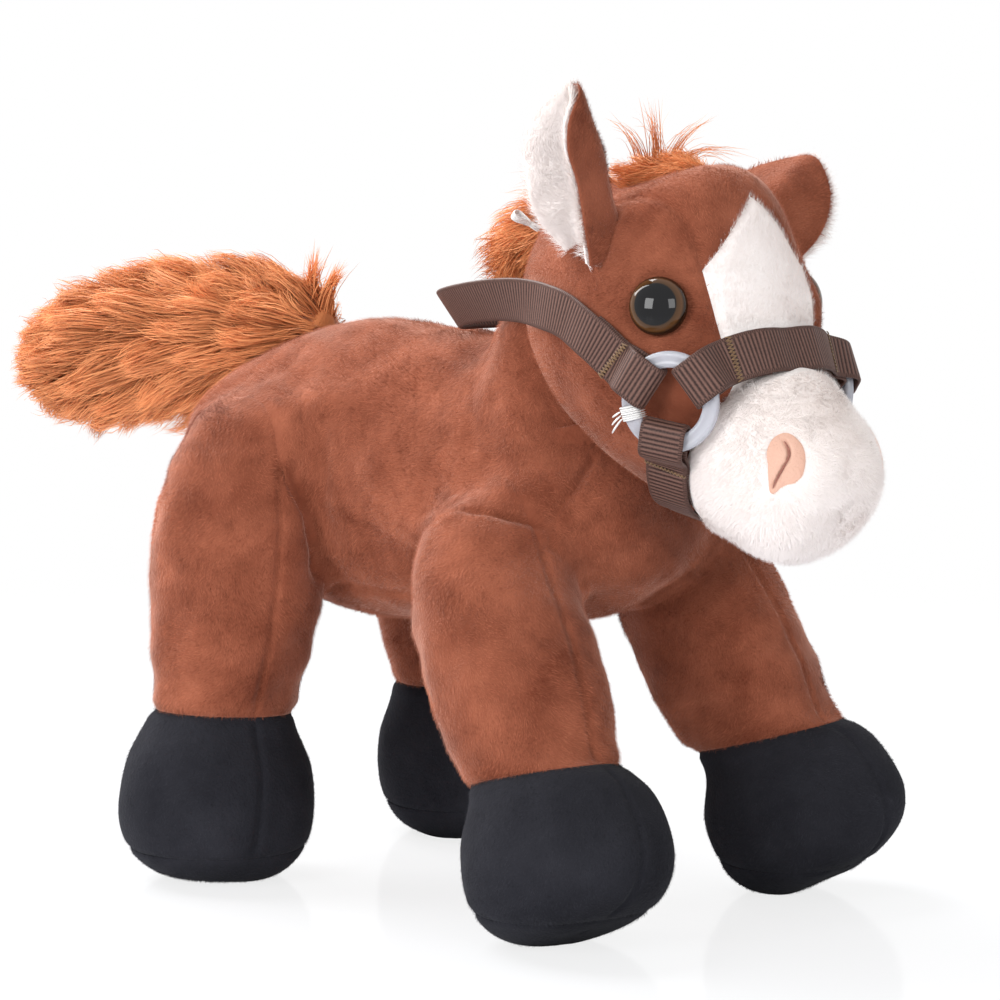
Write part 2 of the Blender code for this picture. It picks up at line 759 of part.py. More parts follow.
def make_eyes():
    radius = EYE_DIAMETER / 2
    arc = [
        (radius * math.cos(a), EYE_DOME * math.sin(a) - EYE_SINK + EYE_RIM)
        for a in np.linspace(math.pi / 2, 0, 5)[1:]
    ]
    profile = [(0, EYE_DOME - EYE_SINK + EYE_RIM)] + arc
    profile += [(radius, -EYE_SINK), (SHANK_DIAMETER / 2, -EYE_SINK)]
    profile += [(SHANK_DIAMETER / 2, -EYE_SINK - SHANK_LENGTH), (0, -EYE_SINK - SHANK_LENGTH)]
    for side, name in ((-1, "right"), (1, "left")):
        place, normal = eye_place(side)
        piece("eye_" + name, turned_solid(place, normal, profile), EYE, head_joint)
        disc = turned_solid(place, normal, WASHER_DISC)
        piece("eye_washer_" + name, less(disc, turned_solid(place, normal, WASHER_BORE)), WASHER, head_joint)


def ear_leaf(frame, fold, inner_face, outer_face, rim):
    """A folded leaf between two offsets from its outer face.

    Across the leaf the surface is an arc of the fold's radius, and straight on each side past the
    fold's angle. Along it both widths follow the ear's shares. The rim pulls the edges in.
    """
    base, long, side, face = frame
    count_across, count_along = 9, 8
    limit = math.radians(fold)
    layers = []
    for offset in (outer_face, inner_face):
        grid = []
        for v in np.linspace(0, 1, count_along):
            front, back = table_at(EAR_SHARES, np.array([v]))[0]
            low = -EAR_BACK_WIDTH * back + rim
            high = EAR_FRONT_WIDTH * front - rim
            middle = base + long * ((EAR_LENGTH - rim) * v)
            for width in np.linspace(low, high, count_across):
                a = max(-limit, min(limit, width / EAR_FOLD_RADIUS))
                rest = width - a * EAR_FOLD_RADIUS
                across = EAR_FOLD_RADIUS * math.sin(a) + rest * math.cos(a)
                deep = EAR_FOLD_RADIUS * (1 - math.cos(a)) + rest * math.sin(a)
                inwards = face * math.cos(a) - side * math.sin(a)
                grid.append(middle + side * across + face * deep + inwards * offset)
        layers.append(grid)
    points = layers[0] + layers[1]
    size = count_across * count_along
    faces = []
    for row in range(count_along - 1):
        for column in range(count_across - 1):
            k = row * count_across + column
            quad = (k, k + 1, k + 1 + count_across, k + count_across)
            faces.append(quad)
            faces.append(tuple(size + corner for corner in reversed(quad)))
    border = [k for k in range(count_across)]
    border += [count_across * (row + 1) - 1 for row in range(1, count_along)]
    border += [size - 1 - k for k in range(1, count_across)]
    border += [count_across * (count_along - 1 - row) for row in range(1, count_along - 1)]
    for k, corner in enumerate(border):
        after = border[(k + 1) % len(border)]
        faces.append((corner, after, size + after, size + corner))
    return mesh_from(points, faces)


def make_ears():
    lean = math.radians(EAR_LEAN_DEG)
    turn = math.radians(EAR_TURN_DEG)
    long = Vector((-math.sin(lean), 0, math.cos(lean)))
    face = at(-math.cos(turn), -math.sin(turn), 0)
    face = (face - long * face.dot(long)).normalized()
    base = at(-EAR_BASE_SIDE, EAR_BASE_FORWARD, EAR_BASE_UP)
    frame = (base, long, long.cross(face), face)
    leaves = {
        "ear_outer": (EAR_CLOTH, 0, 0, BROWN),
        "ear_lining": (2 * EAR_CLOTH + GAP, EAR_CLOTH + GAP, EAR_RIM, WHITE),
    }
    for side, name, fold in ((-1, "right", EAR_FOLD_DEG), (1, "left", LEFT_EAR_FOLD_DEG)):
        pivot = at(side * EAR_BASE_SIDE, EAR_BASE_FORWARD, EAR_BASE_UP)
        joint = empty("ear_joint_" + name, pivot, head_joint)
        around = swept(head_envelope, pivot, FORWARDS, -EAR_SWING_DEG, EAR_SWING_DEG)
        for leaf_name, (*layer, finish) in leaves.items():
            leaf = ear_leaf(frame, fold, *layer)
            if side > 0:
                leaf = turned(mirrored(leaf), pivot, -FORWARDS, LEFT_EAR_DROP_DEG)
            piece(leaf_name + "_" + name, less(leaf, *around), finish, joint)


def ribbon(path, width, thickness):
    """A flat strip along a path of (centre, width direction) points, with square edges.

    The length of a width direction is the share of the width there.
    """
    centres = [centre for centre, across in path]
    points = []
    for k, (centre, across) in enumerate(path):
        ahead = centres[min(k + 1, len(path) - 1)] - centres[max(k - 1, 0)]
        share = across.length
        across = (across - ahead * across.dot(ahead) / ahead.length_squared).normalized()
        out = ahead.normalized().cross(across)
        for a, b in ((1, 1), (-1, 1), (-1, -1), (1, -1)):
            points.append(centre + across * (a * share * width / 2) + out * (b * thickness / 2))
    faces = [(0, 1, 2, 3), tuple(4 * len(path) - 4 + k for k in range(4))]
    for row in range(len(path) - 1):
        for k in range(4):
            after = (k + 1) % 4
            faces.append((4 * row + k, 4 * row + after, 4 * row + 4 + after, 4 * row + 4 + k))
    return mesh_from(points, faces)


def ring_frame():
    """The right ring's centre, its normal, and the directions in its plane forward and up."""
    place, normal = on_surface(on_head(0, RING_ALONG, 0), -SIDEWAYS, RING_DIAMETER / 2)
    forward = (HEAD_AXIS - normal * HEAD_AXIS.dot(normal)).normalized()
    up = forward.cross(normal)
    return place + normal * RING_STANDOFF, normal, forward, up if up.dot(HEAD_CREST) > 0 else -up


def lifted(route):
    """Moves a route of (place, normal) points off the head until a ribbon's width clears it."""
    path = []
    for k, (place, normal) in enumerate(route):
        ahead = route[min(k + 1, len(route) - 1)][0] - route[max(k - 1, 0)][0]
        across = normal.cross(ahead).normalized()
        high = 0
        for share in (-0.5, -0.25, 0, 0.25, 0.5):
            above = place + across * (share * RIBBON_WIDTH) + normal * OVERRUN
            hit = head_tree.ray_cast(above, -normal)[0]
            if hit:
                high = max(high, (hit - place).dot(normal))
        path.append((place + normal * (high + RIBBON_CLEARANCE + RIBBON_THICKNESS / 2), across, normal))
    return path


def folded_end(path, toward, frame):
    """The path of a strap whose end passes under the ring's bar, round it and back on itself."""
    centre, normal, forward, up = frame
    middle = (RING_DIAMETER - RING_BAR_WIDTH) / 2
    clear = GAP + RIBBON_THICKNESS / 2
    deep = RING_BAR_THICKNESS / 2 + clear
    reach = RIBBON_WIDTH * GATHER_SHARE / 2
    inner = math.sqrt((middle - RING_BAR_WIDTH / 2) ** 2 - reach**2) - clear
    across = normal.cross(toward).normalized() * GATHER_SHARE
    if across.dot(path[0][1]) < 0:
        across = -across
    edge = middle + RING_BAR_WIDTH / 2
    bend = [(edge, -deep), (inner + deep / 2, -deep), (inner, 0), (inner + deep / 2, deep)]
    bend += [(middle, deep), (edge, deep * RING_EDGE_SHARE)]
    wrap = [(centre + toward * out + normal * high, across) for out, high in bend]
    step = RIBBON_THICKNESS + GAP
    inside = []
    outside = []
    gone = 0
    for k, (place, width, outwards) in enumerate(path):
        gone += (place - path[k - 1][0]).length if k else 0
        if gone < FOLD_LENGTH:
            inside.append((place, width))
        high = step * min(1, max(0, 1 - (gone - FOLD_LENGTH) / FOLD_END))
        outside.append((place + outwards * high, width))
    return inside[::-1] + wrap + outside


def both_halves(path):
    """A path that ends on the middle plane, joined to its mirror image."""
    far = []
    for place, width in path[-2::-1]:
        far.append((Vector((-place.x, place.y, place.z)), Vector((-width.x, width.y, width.z))))
    return path + far


def around_route(low, high, forward_reach, count=9):
    """Points on the head from one angle about its axis to another, with their normals."""
    route = []
    for angle in np.linspace(math.radians(low), math.radians(high), count):
        along = RING_ALONG + forward_reach * abs(math.sin(angle))
        direction = HEAD_CREST * math.sin(angle) - SIDEWAYS * math.cos(angle)
        route.append(on_surface(on_head(0, along, 0), direction))
    return route


def make_halter():
    frame = ring_frame()
    centre, normal, forward, up = frame
    middle = (RING_DIAMETER - RING_BAR_WIDTH) / 2
    turns = np.linspace(0, 2 * math.pi, 24, endpoint=False)
    round_bar = np.linspace(0, 2 * math.pi, 6, endpoint=False)
    points = []
    for a in turns:
        out = forward * math.cos(a) + up * math.sin(a)
        for b in round_bar:
            reach = middle + RING_BAR_WIDTH / 2 * math.cos(b)
            points.append(centre + out * reach + normal * (RING_BAR_THICKNESS / 2 * math.sin(b)))
    faces = []
    for row in range(len(turns)):
        first = row * len(round_bar)
        second = (row + 1) % len(turns) * len(round_bar)
        for k in range(len(round_bar)):
            after = (k + 1) % len(round_bar)
            faces.append((first + k, first + after, second + after, second + k))
    ring = mesh_from(points, faces)
    spoke = forward * math.cos(math.radians(TIE_DEG)) + up * math.sin(math.radians(TIE_DEG))
    inner = middle - RING_BAR_WIDTH / 2 - GAP - TIE_THICKNESS / 2
    outer = middle + RING_BAR_WIDTH / 2 + GAP + TIE_THICKNESS / 2
    top = RING_BAR_THICKNESS / 2 + GAP + TIE_THICKNESS / 2
    arch = ((outer, 0), (middle + top / 2, top), (middle - top / 2, top), (inner, 0))
    tie = [(centre + spoke * out + normal * high, normal.cross(spoke)) for out, high in arch]
    for index, out in ((0, outer), (len(tie) + 1, inner)):
        above = centre + spoke * out + normal * OVERRUN
        foot = head_tree.ray_cast(above, -normal)[0] + normal * GAP
        tie.insert(index, (foot, normal.cross(spoke)))
    thread = ribbon(tie, TIE_WIDTH, TIE_THICKNESS)
    for name, copied in (("right", lambda mesh: mesh), ("left", mirrored)):
        piece("halter_ring_" + name, copied(ring), RING, head_joint)
        piece("ring_tie_" + name, copied(thread), THREAD, head_joint)

    bands = {"nose_band": (BAND_START_DEG, BAND_FORWARD), "chin_strap": (-BAND_START_DEG, CHIN_FORWARD)}
    for name, (low, reach) in bands.items():
        path = lifted(around_route(low, math.copysign(90, low), reach))
        toward = path[0][0] - centre
        toward = (toward - normal * toward.dot(normal)).normalized()
        strap = both_halves(folded_end(path, toward, frame))
        piece(name, ribbon(strap, RIBBON_WIDTH, RIBBON_THICKNESS), RIBBON, head_joint)

    route = []
    for step in np.linspace(0, 1, 9):
        along, rise = table_at(CROWN_SHARES, np.array([step]))[0] * HEAD_LENGTH
        route.append(on_surface(on_head(0, along, rise), -SIDEWAYS))
    path = lifted(route)
    path = folded_end(path, -forward, frame)
    begin, width = path[-1]
    finish = at(0, CROWN_LOOP_FORWARD, CROWN_LOOP_UP)
    lean = math.radians(CROWN_LEAN_DEG)
    upright = UPWARDS * math.cos(lean) - FORWARDS * math.sin(lean)
    sign = -1 if width.z < 0 else 1
    leaving = begin + (begin - path[-2][0]).normalized() * CROWN_LEAVE
    arriving = finish - SIDEWAYS * CROWN_ARRIVE
    for u in np.linspace(0, 1, 10)[1:]:
        place = begin * (1 - u) ** 3 + leaving * 3 * u * (1 - u) ** 2
        place += arriving * 3 * u**2 * (1 - u) + finish * u**3
        twist = SIDEWAYS * (sign * CROWN_TWIST_SHARE * math.sin(math.pi * u))
        path.append((place, (width.lerp(upright * sign, u) + twist).normalized()))
    piece("crown_strap", ribbon(both_halves(path), RIBBON_WIDTH, RIBBON_THICKNESS), RIBBON, head_joint)


def make_tag():
    place, outwards = on_surface(on_head(TAG_SIDE, TAG_ALONG, TAG_RISE), -HEAD_AXIS)
    side = (HEAD_CREST - outwards * HEAD_CREST.dot(outwards)).normalized()
    across = outwards.cross(side)
    low = RIBBON_CLEARANCE
    wide = TAG_HALF_OPENING
    loop = [(-wide, low), (-2 * wide, TAG_LENGTH / 2), (-wide, TAG_LENGTH)]
    loop += [(-a, high) for a, high in reversed(loop)]
    path = [(place + across * a + outwards * high, side) for a, high in loop]
    piece("tag_loop", ribbon(path, TAG_WIDTH, TAG_THICKNESS), THREAD, head_joint)


def make_hair():
    around = [head_envelope] + swept(neck_envelope, turn_point, UPWARDS, -TURN_DEG, TURN_DEG)
    top = at(0, MANE_TOP_FORWARD, MANE_TOP_UP)
    low = at(0, MANE_END_FORWARD, MANE_END_UP)
    bow = at(0, -MANE_BOW, MANE_BOW)
    half = (MANE_HALF_WIDTH, MANE_HALF_DEPTH, MANE_HALF_DEPTH)
    mane = stuffed(top, low, bow, UPWARDS, *half, EVEN_SHARES, HAIR_ROUND_SHARE, 10, 7)
    piece("mane", less(mane, *around), PILE, head_joint)
    back = at(0, FORELOCK_BACK_FORWARD, FORELOCK_UP)
    front = at(0, FORELOCK_FRONT_FORWARD, FORELOCK_UP)
    half = (FORELOCK_HALF_WIDTH, FORELOCK_HALF_DEPTH, FORELOCK_HALF_DEPTH)
    lock = stuffed(front, back, STRAIGHT, UPWARDS, *half, EVEN_SHARES, HAIR_ROUND_SHARE, 10, 7)
    behind = grown(mane, GAP)
    piece("forelock", less(lock, head_envelope, behind), PILE, head_joint)


def make_tail():
    root = at(0, TORSO_BACK + TAIL_ROOT_INSET, TORSO_HEIGHT + TAIL_ROOT_RISE)
    tip = root - at(0, TAIL_LENGTH, TAIL_DROP)
    half = (TAIL_HALF_WIDTH, TAIL_HALF_DEPTH, TAIL_HALF_DEPTH)
    shape = (root, tip, UPWARDS * TAIL_BOW, UPWARDS, *half, TAIL_SHARES, TAIL_ROUND_SHARE)
    around = swept(torso_envelope, tail_hinge, SIDEWAYS, -TAIL_SWING_DEG, TAIL_SWING_DEG)
    inner = stuffed(*shape, 10, 7)
    sleeve = less(stuffed(*shape, 16, 10), grown(inner, -PLUSH), *around)
    piece("tail_skin", sleeve, PILE, tail_joint)
    piece("tail_filling", less(grown(inner, -PLUSH - GAP), *around), FIBRE, tail_joint)


def make_legs(pair, top, foot, shares, seam_share, hinge_forward):
    """The right leg of a pair, and its mirror image."""
    half = (HOOF_RADIUS, HOOF_RADIUS, HOOF_RADIUS)
    shape = (top, foot, STRAIGHT, FORWARDS, *half, shares, LEG_ROUND_SHARE)
    outer = stuffed(*shape, 16, 14)
    drop = UPWARDS * (-FLAT_DEPTH - min(vertex.co.z for vertex in outer.vertices))
    shape = (top + drop, foot + drop, *shape[2:])
    outer = stuffed(*shape, 16, 14)
    inner = stuffed(*shape, 10, 12)
    shell = less(outer, grown(inner, -PLUSH), ground)
    axis = (foot - top).normalized().lerp(-UPWARDS, SEAM_LEVEL_SHARE).normalized()
    hoof_seam = shape[0].lerp(shape[1], seam_share)
    sole_low = half_space(UPWARDS * (SOLE_HEIGHT + SEAM_GAP / 2), -UPWARDS)
    sole_high = half_space(UPWARDS * (SOLE_HEIGHT - SEAM_GAP / 2), UPWARDS)
    pivot = at(top.x, hinge_forward, TORSO_HEIGHT - HIP_DROP)
    around = swept(torso_envelope, pivot, SIDEWAYS, -LEG_SWING_DEG, LEG_SWING_DEG)
    below = axis * (SEAM_GAP / 2)
    parts = {
        "leg_skin": (less(shell, half_space(hoof_seam - below, axis), *around), BROWN),
        "hoof_skin": (less(shell, half_space(hoof_seam + below, -axis), sole_low), BLACK),
        "sole": (less(shell, sole_high), BLACK),
        "leg_filling": (less(grown(inner, -PLUSH - GAP), *around), FIBRE),
    }
    for side, name in ((-1, "right"), (1, "left")):
        joint = empty(f"{pair}_leg_joint_{name}", Vector((side * abs(pivot.x), pivot.y, pivot.z)))
        for part_name, (mesh, finish) in parts.items():
            mesh = main_body(mesh)
            piece(f"{pair}_{part_name}_{name}", mesh if side < 0 else mirrored(mesh), finish, joint)


make_torso()
make_neck()
make_head()
make_muzzle()
make_eyes()
make_ears()
make_halter()
make_tag()
make_hair()
make_tail()
front_top = at(-FRONT_TOP_SIDE, FRONT_TOP_FORWARD, TORSO_HEIGHT - FRONT_TOP_DROP)
front_foot = at(-FRONT_FOOT_SIDE, FRONT_FOOT_FORWARD, 0)
make_legs("front", front_top, front_foot, FRONT_SHARES, FRONT_SEAM_SHARE, FRONT_HINGE_FORWARD)
hind_hinge_forward = TORSO_BACK + HIND_TOP_INSET
hind_top = at(-HIND_TOP_SIDE, hind_hinge_forward, TORSO_HEIGHT + HIND_TOP_RISE)
hind_foot = at(-HIND_FOOT_SIDE, TORSO_BACK + HIND_FOOT_INSET, 0)
make_legs("hind", hind_top, hind_foot, HIND_SHARES, HIND_SEAM_SHARE, hind_hinge_forward)
for item in bpy.context.scene.objects:
    if not item.parent:
        item.location.y -= MIDDLE_BACK
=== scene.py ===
# %% [markdown]
# # A plush horse, dressed over its imported model
#
# The toy is sewn from short-piled plush and stuffed, with a ribbon halter, glossy eyes and a tail
# of long pile. The imported model gives every place and size. What follows gives each piece its
# cloth, its pile and its finish, and hangs most pieces on the body that they move with.

# %% Load the imported model
import math

import bpy
import numpy as np
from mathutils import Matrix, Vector
from mathutils.bvhtree import BVHTree


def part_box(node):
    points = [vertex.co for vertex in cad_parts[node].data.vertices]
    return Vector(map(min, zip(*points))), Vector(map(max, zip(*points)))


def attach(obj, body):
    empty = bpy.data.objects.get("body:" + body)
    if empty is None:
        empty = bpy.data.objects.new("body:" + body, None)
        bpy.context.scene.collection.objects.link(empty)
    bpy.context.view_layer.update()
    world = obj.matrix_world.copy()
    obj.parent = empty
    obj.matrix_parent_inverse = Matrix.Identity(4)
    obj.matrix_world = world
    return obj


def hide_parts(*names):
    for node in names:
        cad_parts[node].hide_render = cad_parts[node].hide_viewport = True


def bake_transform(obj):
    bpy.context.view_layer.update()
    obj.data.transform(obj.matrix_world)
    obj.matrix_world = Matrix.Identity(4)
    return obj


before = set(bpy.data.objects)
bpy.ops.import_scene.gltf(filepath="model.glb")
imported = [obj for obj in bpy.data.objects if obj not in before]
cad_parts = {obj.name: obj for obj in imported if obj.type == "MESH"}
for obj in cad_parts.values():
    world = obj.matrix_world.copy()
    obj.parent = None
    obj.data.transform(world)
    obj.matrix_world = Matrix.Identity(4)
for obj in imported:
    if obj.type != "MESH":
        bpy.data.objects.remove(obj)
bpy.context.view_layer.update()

# %% [markdown]
# ## Directions and tables
#
# A sewn animal is easiest to describe from its own point of view: how far to its left, how far
# forward and how far up. Its limbs could be traced point by point, but a limb swells and tapers
# smoothly, so a short table of widths and a smooth way of reading it say the same in less.

# %% Points, directions and smooth tables
MIDDLE_BACK = 0.03538
SIDE = np.array([1.0, 0.0, 0.0])
FORWARD = np.array([0.0, -1.0, 0.0])
UP = np.array([0.0, 0.0, 1.0])
NONE = np.zeros(3)
PITCH = math.radians(32.8)


def toward(side, forward, up):
    """A direction from its share to the horse's left, forward and up."""
    return np.array([side, -forward, up], float)


def at(side, forward, up):
    """A point from its distance to the horse's left, forward and up."""
    return toward(side, forward + MIDDLE_BACK, up)


def unit(v):
    """Each vector over its own length."""
    return v / np.maximum(np.linalg.norm(v, axis=-1, keepdims=True), 1e-12)


def dot(a, b):
    """The sum of the products of two vectors' parts, kept as a column."""
    return (a * b).sum(-1, keepdims=True)


def table_at(table, places):
    """Reads rows of (place, values): between two rows a cubic that leaves and arrives with the
    slopes of the rows around them."""
    rows = np.asarray(table, float)
    marks = rows[:, 0]
    shape = np.shape(places)
    places = np.clip(np.ravel(places), marks[0], marks[-1])
    index = np.clip(np.searchsorted(marks, places, side="right") - 1, 0, len(marks) - 2)
    gap = (marks[index + 1] - marks[index])[:, None]
    part = (places[:, None] - marks[index][:, None]) / gap
    slope = np.gradient(rows[:, 1:], marks, axis=0)
    low = rows[index, 1:] * (1 + 2 * part) + slope[index] * gap * part
    high = rows[index + 1, 1:] * (3 - 2 * part) + slope[index + 1] * gap * (part - 1)
    return (low * (1 - part) ** 2 + high * part**2).reshape(shape + (-1,))


HEAD_AXIS = toward(0, math.cos(PITCH), -math.sin(PITCH))
HEAD_CREST = toward(0, math.sin(PITCH), math.cos(PITCH))


def on_head(side, along, rise):
    """A point from its place along the head's axis and square to it."""
    return at(0, 0.044, 0.124) + SIDE * side + HEAD_AXIS * along + HEAD_CREST * rise


print("the head's axis:", HEAD_AXIS.round(3))

# %% [markdown]
# ## A stuffed form as a function of two angles
#
# A stuffed limb is a closed bag: round in section, full in the middle and drawn in at both ends.
# It could be sculpted or inflated by a cloth simulation. A formula keeps it exactly where the
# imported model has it: one angle runs round the limb, the other from one end to the other.

# %% The stuffed form
TORSO = (at(0, 0.045, 0.089), at(0, -0.085, 0.089), NONE, UP, (0.0295, 0.034, 0.034), (
    (0.00, 0.96, 0.34, 0.82), (0.15, 0.98, 0.46, 0.90), (0.35, 0.97, 0.86, 0.95),
    (0.55, 0.95, 0.98, 0.95), (0.75, 1.00, 1.04, 0.98), (1.00, 1.02, 1.00, 0.92)), 0.45)
NECK = (at(0, 0.012, 0.086), at(0, 0.026, 0.140), NONE, UP, (0.0235, 0.0215, 0.0215), (
    (0.0, 1.12, 1.00, 1.10), (0.5, 0.94, 0.84, 1.00), (1.0, 0.85, 0.80, 0.95)), 0.45)
HEAD = (on_head(0, -0.036, 0), on_head(0, 0.048, 0), NONE, UP, (0.0265, 0.034, 0.029), (
    (0.000, 0.80, 0.75, 0.80), (0.190, 0.98, 0.80, 0.98), (0.333, 1.02, 1.07, 1.00),
    (0.476, 1.00, 1.02, 1.00), (0.620, 0.95, 0.74, 1.00), (0.714, 0.88, 0.54, 1.00),
    (0.786, 0.83, 0.43, 1.00), (1.000, 0.80, 0.38, 1.00)), 0.70)
EVEN = ((0.0, 1.0, 1.0, 1.0), (1.0, 1.0, 1.0, 1.0))
MUZZLE = (on_head(0, 0.018, -0.0062), on_head(0, 0.0585, -0.0062), NONE, UP,
          (0.019, 0.0181, 0.0181), EVEN, 0.60)
LOWER_LEG = ((0.65, 0.75, 0.75, 0.75), (0.75, 1.00, 1.00, 1.00), (0.83, 1.12, 1.12, 1.12),
             (0.90, 1.18, 1.18, 1.18), (0.96, 1.16, 1.16, 1.16), (1.00, 1.08, 1.08, 1.08))
FRONT_LEG = ((0.00, 0.80, 0.82, 0.80), (0.25, 0.86, 0.86, 0.86),
             (0.50, 0.80, 0.80, 0.80)) + LOWER_LEG
HIND_LEG = ((0.00, 0.80, 0.95, 0.85), (0.25, 0.86, 1.05, 0.95),
            (0.50, 0.78, 0.88, 0.80)) + LOWER_LEG
TAIL = (at(0, -0.060, 0.120), at(0, -0.1645, 0.107), UP * 0.003, UP, (0.015, 0.018, 0.018), (
    (0.00, 0.70, 0.80, 0.80), (0.30, 0.95, 0.95, 1.05), (0.75, 1.00, 1.00, 1.10),
    (1.00, 0.95, 0.95, 0.90)), 0.40)
MANE = (at(0, 0.034, 0.150), at(0, -0.002, 0.131), toward(0, -0.005, 0.005), UP,
        (0.008, 0.008, 0.008), EVEN, 0.50)
FORELOCK = (at(0, 0.055, 0.158), at(0, 0.032, 0.158), NONE, UP, (0.010, 0.006, 0.006), EVEN, 0.50)


def stuffed(form, a, u):
    """Points of a stuffed form. Place t along the spine is (1 - cos a) / 2. There the section is
    an ellipse of the table's half sizes times sin(a) to the power of the form's roundness, and u
    is the angle round it, with its upper half on the side that the form faces."""
    start, end, bow, facing, half, table, roundness = form
    t = (1 - np.cos(a)) / 2
    size = table_at(table, t) * np.array(half) * (np.sin(np.clip(a, 0, math.pi)) ** roundness)[..., None]
    bend = (4 * t * (1 - t))[..., None]
    centre = start + (end - start) * t[..., None] + bow * bend
    tangent = unit(end - start + bow * (4 - 8 * t)[..., None])
    across = unit(SIDE - tangent * dot(tangent, SIDE))
    crest = np.cross(tangent, across)
    crest = crest * np.sign(dot(crest, facing))
    depth = np.where(np.sin(u) > 0, size[..., 1], size[..., 2])
    return centre + across * (size[..., 0] * np.cos(u))[..., None] + crest * (depth * np.sin(u))[..., None]


def leg_form(top, foot, table):
    """A leg that stands half a millimetre into the ground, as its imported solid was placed."""
    half = (0.0218, 0.0218, 0.0218)
    shape = (top, foot, NONE, FORWARD, half, table, 0.42)
    a, u = np.meshgrid(np.linspace(0, math.pi, 15), np.linspace(0, 2 * math.pi, 17)[:-1], indexing="ij")
    drop = UP * (-0.0005 - stuffed(shape, a, u)[..., 2].min())
    return (top + drop, foot + drop) + shape[2:]


FRONT = leg_form(at(-0.0285, 0.0135, 0.078), at(-0.040, 0.0575, 0), FRONT_LEG)
HIND = leg_form(at(-0.029, -0.056, 0.102), at(-0.042, -0.054, 0), HIND_LEG)
print("legs begin at", FRONT[0].round(4), HIND[0].round(4))

# %% [markdown]
# ## How far a point is from a form
#
# Where a leg joins the belly, real cloth runs from one into the other in a small hollow curve, and
# pile that would sit inside a neighbour isn't there. Both need the distance from a point to a
# form. A search tree could give it, but the form's own formula does so for whole arrays at once.

# %% Distance, soft joins and slow waves
def off_form(form, points, steps=0.0002):
    """About how far points lie outside a form. With q the distance from the spine in shares of the
    section and t the place along it, the number (q^(2 / r) + (2t - 1)^2)^(r / 2), for the form's
    roundness r, is one on the form. The distance is that number less one, over its rate."""
    start, end, bow, facing, half, table, roundness = form
    line = end - start
    across = unit(SIDE - line * dot(line, SIDE) / (line @ line))
    crest = unit(np.cross(line, across))
    crest = crest * np.sign(crest @ facing)

    def number(places):
        t = (places - start) @ line / (line @ line)
        held = np.clip(t, 0, 1)
        out = places - start - line * t[..., None] - bow * (4 * held * (1 - held))[..., None]
        size = table_at(table, held) * np.array(half)
        wide, high = out @ across, out @ crest
        depth = np.where(high > 0, size[..., 1], size[..., 2])
        q = np.sqrt((wide / size[..., 0]) ** 2 + (high / depth) ** 2 + 1e-9)
        return (q ** (2 / roundness) + (2 * t - 1) ** 2) ** (roundness / 2)

    here = number(points)
    rate = np.stack([number(points + step) - here for step in np.eye(3) * steps], -1) / steps
    return (here - 1) / np.maximum(np.linalg.norm(rate, axis=-1), 4.0)


def soft_least(a, b, width):
    """The smaller of two distances, less a quarter of the width times the square of the share
    (1 - |a - b| / width) where that is above zero. Its zero is both forms in one skin."""
    share = np.clip(1 - abs(a - b) / width, 0, 1)
    return np.minimum(a, b) - share**2 * width / 4


def slow_waves(points, length, seed):
    """A smooth field from -1 to 1: the mean of eight sine waves of about one length, in seeded
    directions."""
    rng = np.random.default_rng(seed)
    ways = unit(rng.normal(size=(8, 3))) * rng.uniform(0.7, 1.5, (8, 1)) * 2 * math.pi / length
    return np.sin(points @ ways.T + rng.uniform(0, 2 * math.pi, 8)).mean(-1) * 1.8


def groove(distance, depth, width):
    """A sewn line: the depth times a bell curve of the distance to it."""
    return depth * np.exp(-((distance / width) ** 2))


print("torso to the middle of a front leg:", off_form(TORSO, FRONT[0][None]).round(4))

# %% [markdown]
# ## From a grid to a mesh
#
# Every sewn piece here is a grid of points: rings from one end to the other. Blender could loft
# curves instead, but a grid goes into a mesh in one step, knows its own flat map for a pattern,
# and tells the pile where to grow.

# %% Grids, their normals and their meshes
def grid_normals(grid):
    """Outward normals of a closed grid: the cross of its two chords at each point. A ring drawn to
    a point takes the mean of the ring beside it."""
    around = np.roll(grid, -1, 1) - np.roll(grid, 1, 1)
    along = np.gradient(grid, axis=0)
    normal = unit(np.cross(around, along))
    normal[0], normal[-1] = unit(normal[1].mean(0)), unit(normal[-2].mean(0))
    inner = grid.mean(1, keepdims=True)
    return normal * (1 if dot(normal, grid - inner).mean() > 0 else -1)


def make_mesh(name, points, faces, maps):
    """A smooth-shaded mesh from points, lists of equal-sided faces, and each corner's flat map."""
    mesh = bpy.data.meshes.new(name)
    mesh.vertices.add(len(points))
    mesh.vertices.foreach_set("co", np.ascontiguousarray(points, np.float32).ravel())
    corners = np.concatenate([f.ravel() for f in faces]).astype(np.int32)
    sizes = np.concatenate([np.full(len(f), f.shape[1]) for f in faces])
    mesh.loops.add(len(corners))
    mesh.loops.foreach_set("vertex_index", corners)
    mesh.polygons.add(len(sizes))
    mesh.polygons.foreach_set("loop_start", np.concatenate([[0], np.cumsum(sizes)[:-1]]).astype(np.int32))
    mesh.update(calc_edges=True)
    flat = mesh.uv_layers.new(name="OFBake")
    flat.data.foreach_set("uv", np.concatenate([m.reshape(-1, 2) for m in maps]).astype(np.float32).ravel())
    mesh.shade_smooth()
    item = bpy.data.objects.new(name, mesh)
    bpy.context.scene.collection.objects.link(item)
    return item


def paint(item, name, values):
    """Keeps one number for each point of a mesh, for its material to read."""
    layer = item.data.attributes.new(name, "FLOAT", "POINT")
    layer.data.foreach_set("value", np.ascontiguousarray(values, np.float32).ravel())


